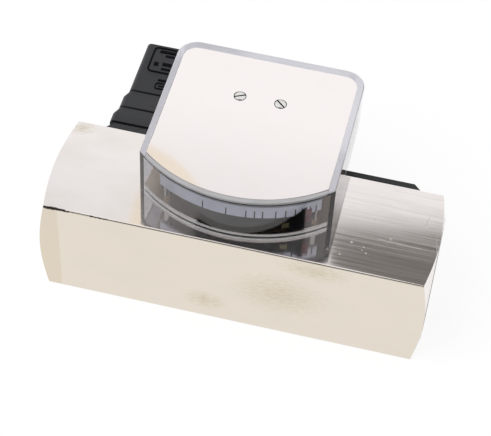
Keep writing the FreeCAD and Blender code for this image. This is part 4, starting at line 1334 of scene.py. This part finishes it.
@dataclass
class Hood:
    """The clear hood with its polished cover plate and two screws."""

    air_gap: float = 0.03
    screw_xs: tuple[float, float] = (-9.27, 4.47)
    screw_y: float = 28.2
    head_radius: float = 1.80
    head_scale: float = 0.87
    head_reach: float = 2.3
    head_height: float = 1.55
    hole_reach: float = 2.5
    slot_depth: float = 0.9
    skin: float = 0.02
    front_radius: float = 46.6
    front_inset: float = 0.3
    rim_width: float = 1.45
    rim_edge: float = 0.15
    plate_edge: float = 0.12
    milled_depth: float = 0.4

    def build(self) -> None:
        """Make the hood, the plate and the screws."""
        self.make_hood()
        self.make_cover()
        self.make_front_rim()
        screws = resurface("cover_screws", BRIGHT_HEADS)
        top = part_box("cover_screws")[1].z
        self.draw_in(screws, self.head_reach, top - self.head_height * MM)
        # Painted shade: the walls and floors of the screws' slots are near black
        second_finish(screws, SLOT_SHADE, lambda centre, normal: centre.z < top - self.skin * MM
                      and centre.z > top - self.slot_depth * MM
                      and (abs(normal.z) < 0.1 or normal.z > 0.9) and self.near_screw(centre))

    def make_cover(self) -> None:
        """Remake the cover plate with its front edge drawn back behind the milled rim."""
        low, _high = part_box("cover_plate")
        piece = copy_node("cover_plate")
        edge = self.front_radius - self.front_inset - 0.1
        edit(piece, Part.VERTICES, lambda place, _normal: place.y < 0.0
             and flat_distance(place, ARC_CENTRE) > edge)
        bpy.ops.transform.translate(value=(0.0, self.rim_width * MM, 0.0))
        leave()
        self.draw_in(piece, self.hole_reach, low.z - 1.0 * MM)
        round_edges(piece, self.plate_edge, NODE_EDGE_LIMIT)
        hand_over(piece, "cover_plate_finished", COVER_SHEET,
                  stands_for=("cover_plate",))

    def draw_in(self, piece: Piece, reach: float, lowest: float) -> None:
        """Make the screws' heads, or the holes round them, as small as they show in the plate.

        Args:
            piece: The screws or the plate.
            reach: Distance from a screw's axis within which vertices move, in millimetres.
            lowest: Height above which vertices move, in metres.
        """
        for x in self.screw_xs:
            edit(piece, Part.VERTICES, lambda place, _normal: place.z > lowest
                 and flat_distance(place, (x, self.screw_y)) < reach)
            bpy.ops.transform.resize(value=(self.head_scale, self.head_scale, 1.0),
                                     center_override=(x * MM, self.screw_y * MM, 0.0))
            leave()

    def make_front_rim(self) -> None:
        """Make the hood's milled rim along the front, between the plate and the wall's face."""
        low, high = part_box("cover_plate")
        rim = add_shape(
            bpy.ops.mesh.primitive_circle_add,
            vertices=360, radius=(self.front_radius - self.air_gap) * MM,
            location=(ARC_CENTRE[0] * MM, ARC_CENTRE[1] * MM, low.z + self.air_gap * MM))
        set_down(rim)
        for place, outwards in (((0.0, 0.0, 0.0), (0.0, 1.0, 0.0)),
                                ((low.x, 0.0, 0.0), (-1.0, 0.0, 0.0)),
                                ((high.x, 0.0, 0.0), (1.0, 0.0, 0.0))):
            edit(rim, Part.VERTICES, everything)
            bpy.ops.mesh.bisect(plane_co=place, plane_no=outwards, clear_outer=True)
            leave()
        depth = self.front_inset + self.rim_width - 2 * self.air_gap
        for move in ((0.0, depth * MM, 0.0), (0.0, 0.0, high.z - low.z - 2 * self.air_gap * MM)):
            edit(rim, Part.VERTICES, everything)
            bpy.ops.mesh.extrude_region_move(TRANSFORM_OT_translate={"value": move})
            leave()
        edit(rim, Part.VERTICES, everything)
        bpy.ops.mesh.normals_make_consistent(inside=False)
        leave()
        round_edges(rim, self.rim_edge)
        # Painted shade: the front rim takes the darker copy of the milled acrylic
        hand_over(rim, "hood_front_rim", SHADED_MILLED_FRONT)

    def near_screw(self, centre: Vector) -> bool:
        """Say whether a place lies inside the rim of a screw's head."""
        return min(flat_distance(centre, (x, self.screw_y))
                   for x in self.screw_xs) < self.head_radius

    def make_hood(self) -> None:
        """Make the hood with a hair of air over everything that it rests on."""
        low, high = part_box("clear_hood")
        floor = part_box("cover_plate")[0].z
        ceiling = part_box("bearing_bridge")[1].z
        piece = copy_node("clear_hood")
        for height, move in ((low.z, 1.0), (floor, -1.0), (ceiling, 1.0)):
            edit(piece, Part.VERTICES, lambda place, _normal: abs(place.z - height) < SAME_PLACE)
            bpy.ops.transform.translate(value=(0.0, 0.0, move * self.air_gap * MM))
            leave()
        hand_over(piece, "clear_hood_finished", ACRYLIC, stands_for=("clear_hood",))
        second_finish(piece, MILLED_ACRYLIC, lambda centre, normal: normal.z > 0.3
                      and centre.z > high.z - self.milled_depth * MM)


@dataclass
class SwitchHousing:
    """The black housing along the back with the reed switch inside."""

    def build(self) -> None:
        """Dress the housing and what it holds."""
        resurface("switch_housing", BLACK_POLYAMIDE, rounding=0.3)
        resurface("housing_screws", STAINLESS_SMALL)
        dress("circuit_board", BOARD)
        resurface("reed_switch", REED_GLASS)
        resurface("reed_leads", STAINLESS_SMALL)


@dataclass
class Plug:
    """The square plug with its contacts, gasket and cable gland."""

    frames: tuple[tuple[float, float, float, float, float, float], ...] = (
        (-49.8, -32.0, 56.7, 69.4, 1.8, 0.6), (-44.8, -34.0, 48.9, 51.9, 0.9, 0.35))
    relief: float = 0.3
    sink: float = 0.1
    relief_edge: float = 0.12
    cap_start: float = 65.0
    bars: tuple[tuple[float, float, float, float], ...] = (
        (-47.4, -36.0, 67.4, 1.1), (-44.9, -36.0, 65.5, 0.75), (-45.0, -36.0, 61.3, 1.3),
        (-44.9, -36.0, 58.9, 0.75), (-44.4, -36.0, 53.2, 0.8), (-43.6, -37.0, 50.4, 0.4))
    square: tuple[float, float, float] = (-47.2, 60.9, 1.6)

    def build(self) -> None:
        """Dress the plug and raise the relief on its top."""
        dress("connector_base", GREY_POLYAMIDE)
        dress("contact_blades", BRASS_SHEET)
        dress("plug_gasket", RUBBER)
        resurface("plug_cover", PLUG_POLYAMIDE, rounding=0.25)
        dress("plug_insert", GREY_POLYAMIDE)
        resurface("terminal_screws", STAINLESS_SMALL)
        resurface("plug_screw", STAINLESS_SMALL)
        resurface("gland_nut", BLACK_POLYAMIDE, rounding=0.2)
        resurface("gland_washer", STAINLESS_SMALL)
        resurface("gland_grommet", RUBBER)
        self.raise_relief()

    def raise_relief(self) -> None:
        """Add the plain frame, bars and square that stand on the plug's top face."""
        top = self.cap_top()
        pieces = [self.make_frame(top, *sizes) for sizes in self.frames]
        for left, right, middle, width in self.bars:
            pieces.append(self.make_bar((left + right) / 2, middle, right - left, width, top))
        x, y, side = self.square
        pieces.append(self.make_bar(x, y, side, side, top))
        # Painted shade: the relief is near black and matt, darker than the plug, for the dark
        # lines along its edges
        hand_over(join("plug_relief", pieces), "plug_relief", BLADE_BLACK_AND_RELIEF_SHADE)

    def cap_top(self) -> float:
        """Return the height of the plug's top face behind its two steps."""
        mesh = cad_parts["plug_cover"].data
        return max(v.co.z for v in mesh.vertices if v.co.y > self.cap_start * MM)

    def make_bar(self, x: float, y: float, length: float, width: float, top: float) -> Piece:
        """Make one raised bar with rounded edges.

        Args:
            x: Middle along X in millimetres.
            y: Middle along Y in millimetres.
            length: Length along X in millimetres.
            width: Width along Y in millimetres.
            top: Height of the face in metres.

        Returns:
            The bar.
        """
        bar = add_box((length, width, self.relief + self.sink),
                      (x, y, top / MM + (self.relief - self.sink) / 2))
        round_edges(bar, self.relief_edge)
        return bar

    def make_frame(self, top: float, left: float, right: float, front: float, back: float,
                   corner: float, width: float) -> Piece:
        """Make one raised frame with round corners.

        Args:
            top: Height of the face in metres.
            left: Left edge in millimetres.
            right: Right edge in millimetres.
            front: Front edge in millimetres.
            back: Back edge in millimetres.
            corner: Radius of its corners in millimetres.
            width: Width of its line in millimetres.

        Returns:
            The frame.
        """
        ring = add_shape(bpy.ops.mesh.primitive_plane_add, size=1.0, location=(
            (left + right) / 2 * MM, (front + back) / 2 * MM, top - self.sink * MM))
        ring.scale = ((right - left) * MM, (back - front) * MM, 1.0)
        set_down(ring)
        edit(ring, Part.VERTICES, everything)
        bpy.ops.mesh.bevel(offset=corner * MM, segments=6, affect="VERTICES")
        bpy.ops.mesh.select_all(action="SELECT")
        bpy.ops.mesh.select_mode(type="FACE")
        bpy.ops.mesh.inset(thickness=width * MM)
        bpy.ops.mesh.delete(type="FACE")
        leave()
        modify(ring, "SOLIDIFY", thickness=(self.relief + self.sink) * MM, offset=1.0)
        round_edges(ring, self.relief_edge)
        return ring


def main() -> None:
    logging.basicConfig(level=logging.INFO, format="%(name)s %(message)s")
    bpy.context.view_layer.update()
    Studio().build()
    for assembly in (MeterBody(), FlowGroup(), Dial(), Hood(), SwitchHousing(), Plug()):
        assembly.build()


if __name__ == "__main__":
    main()
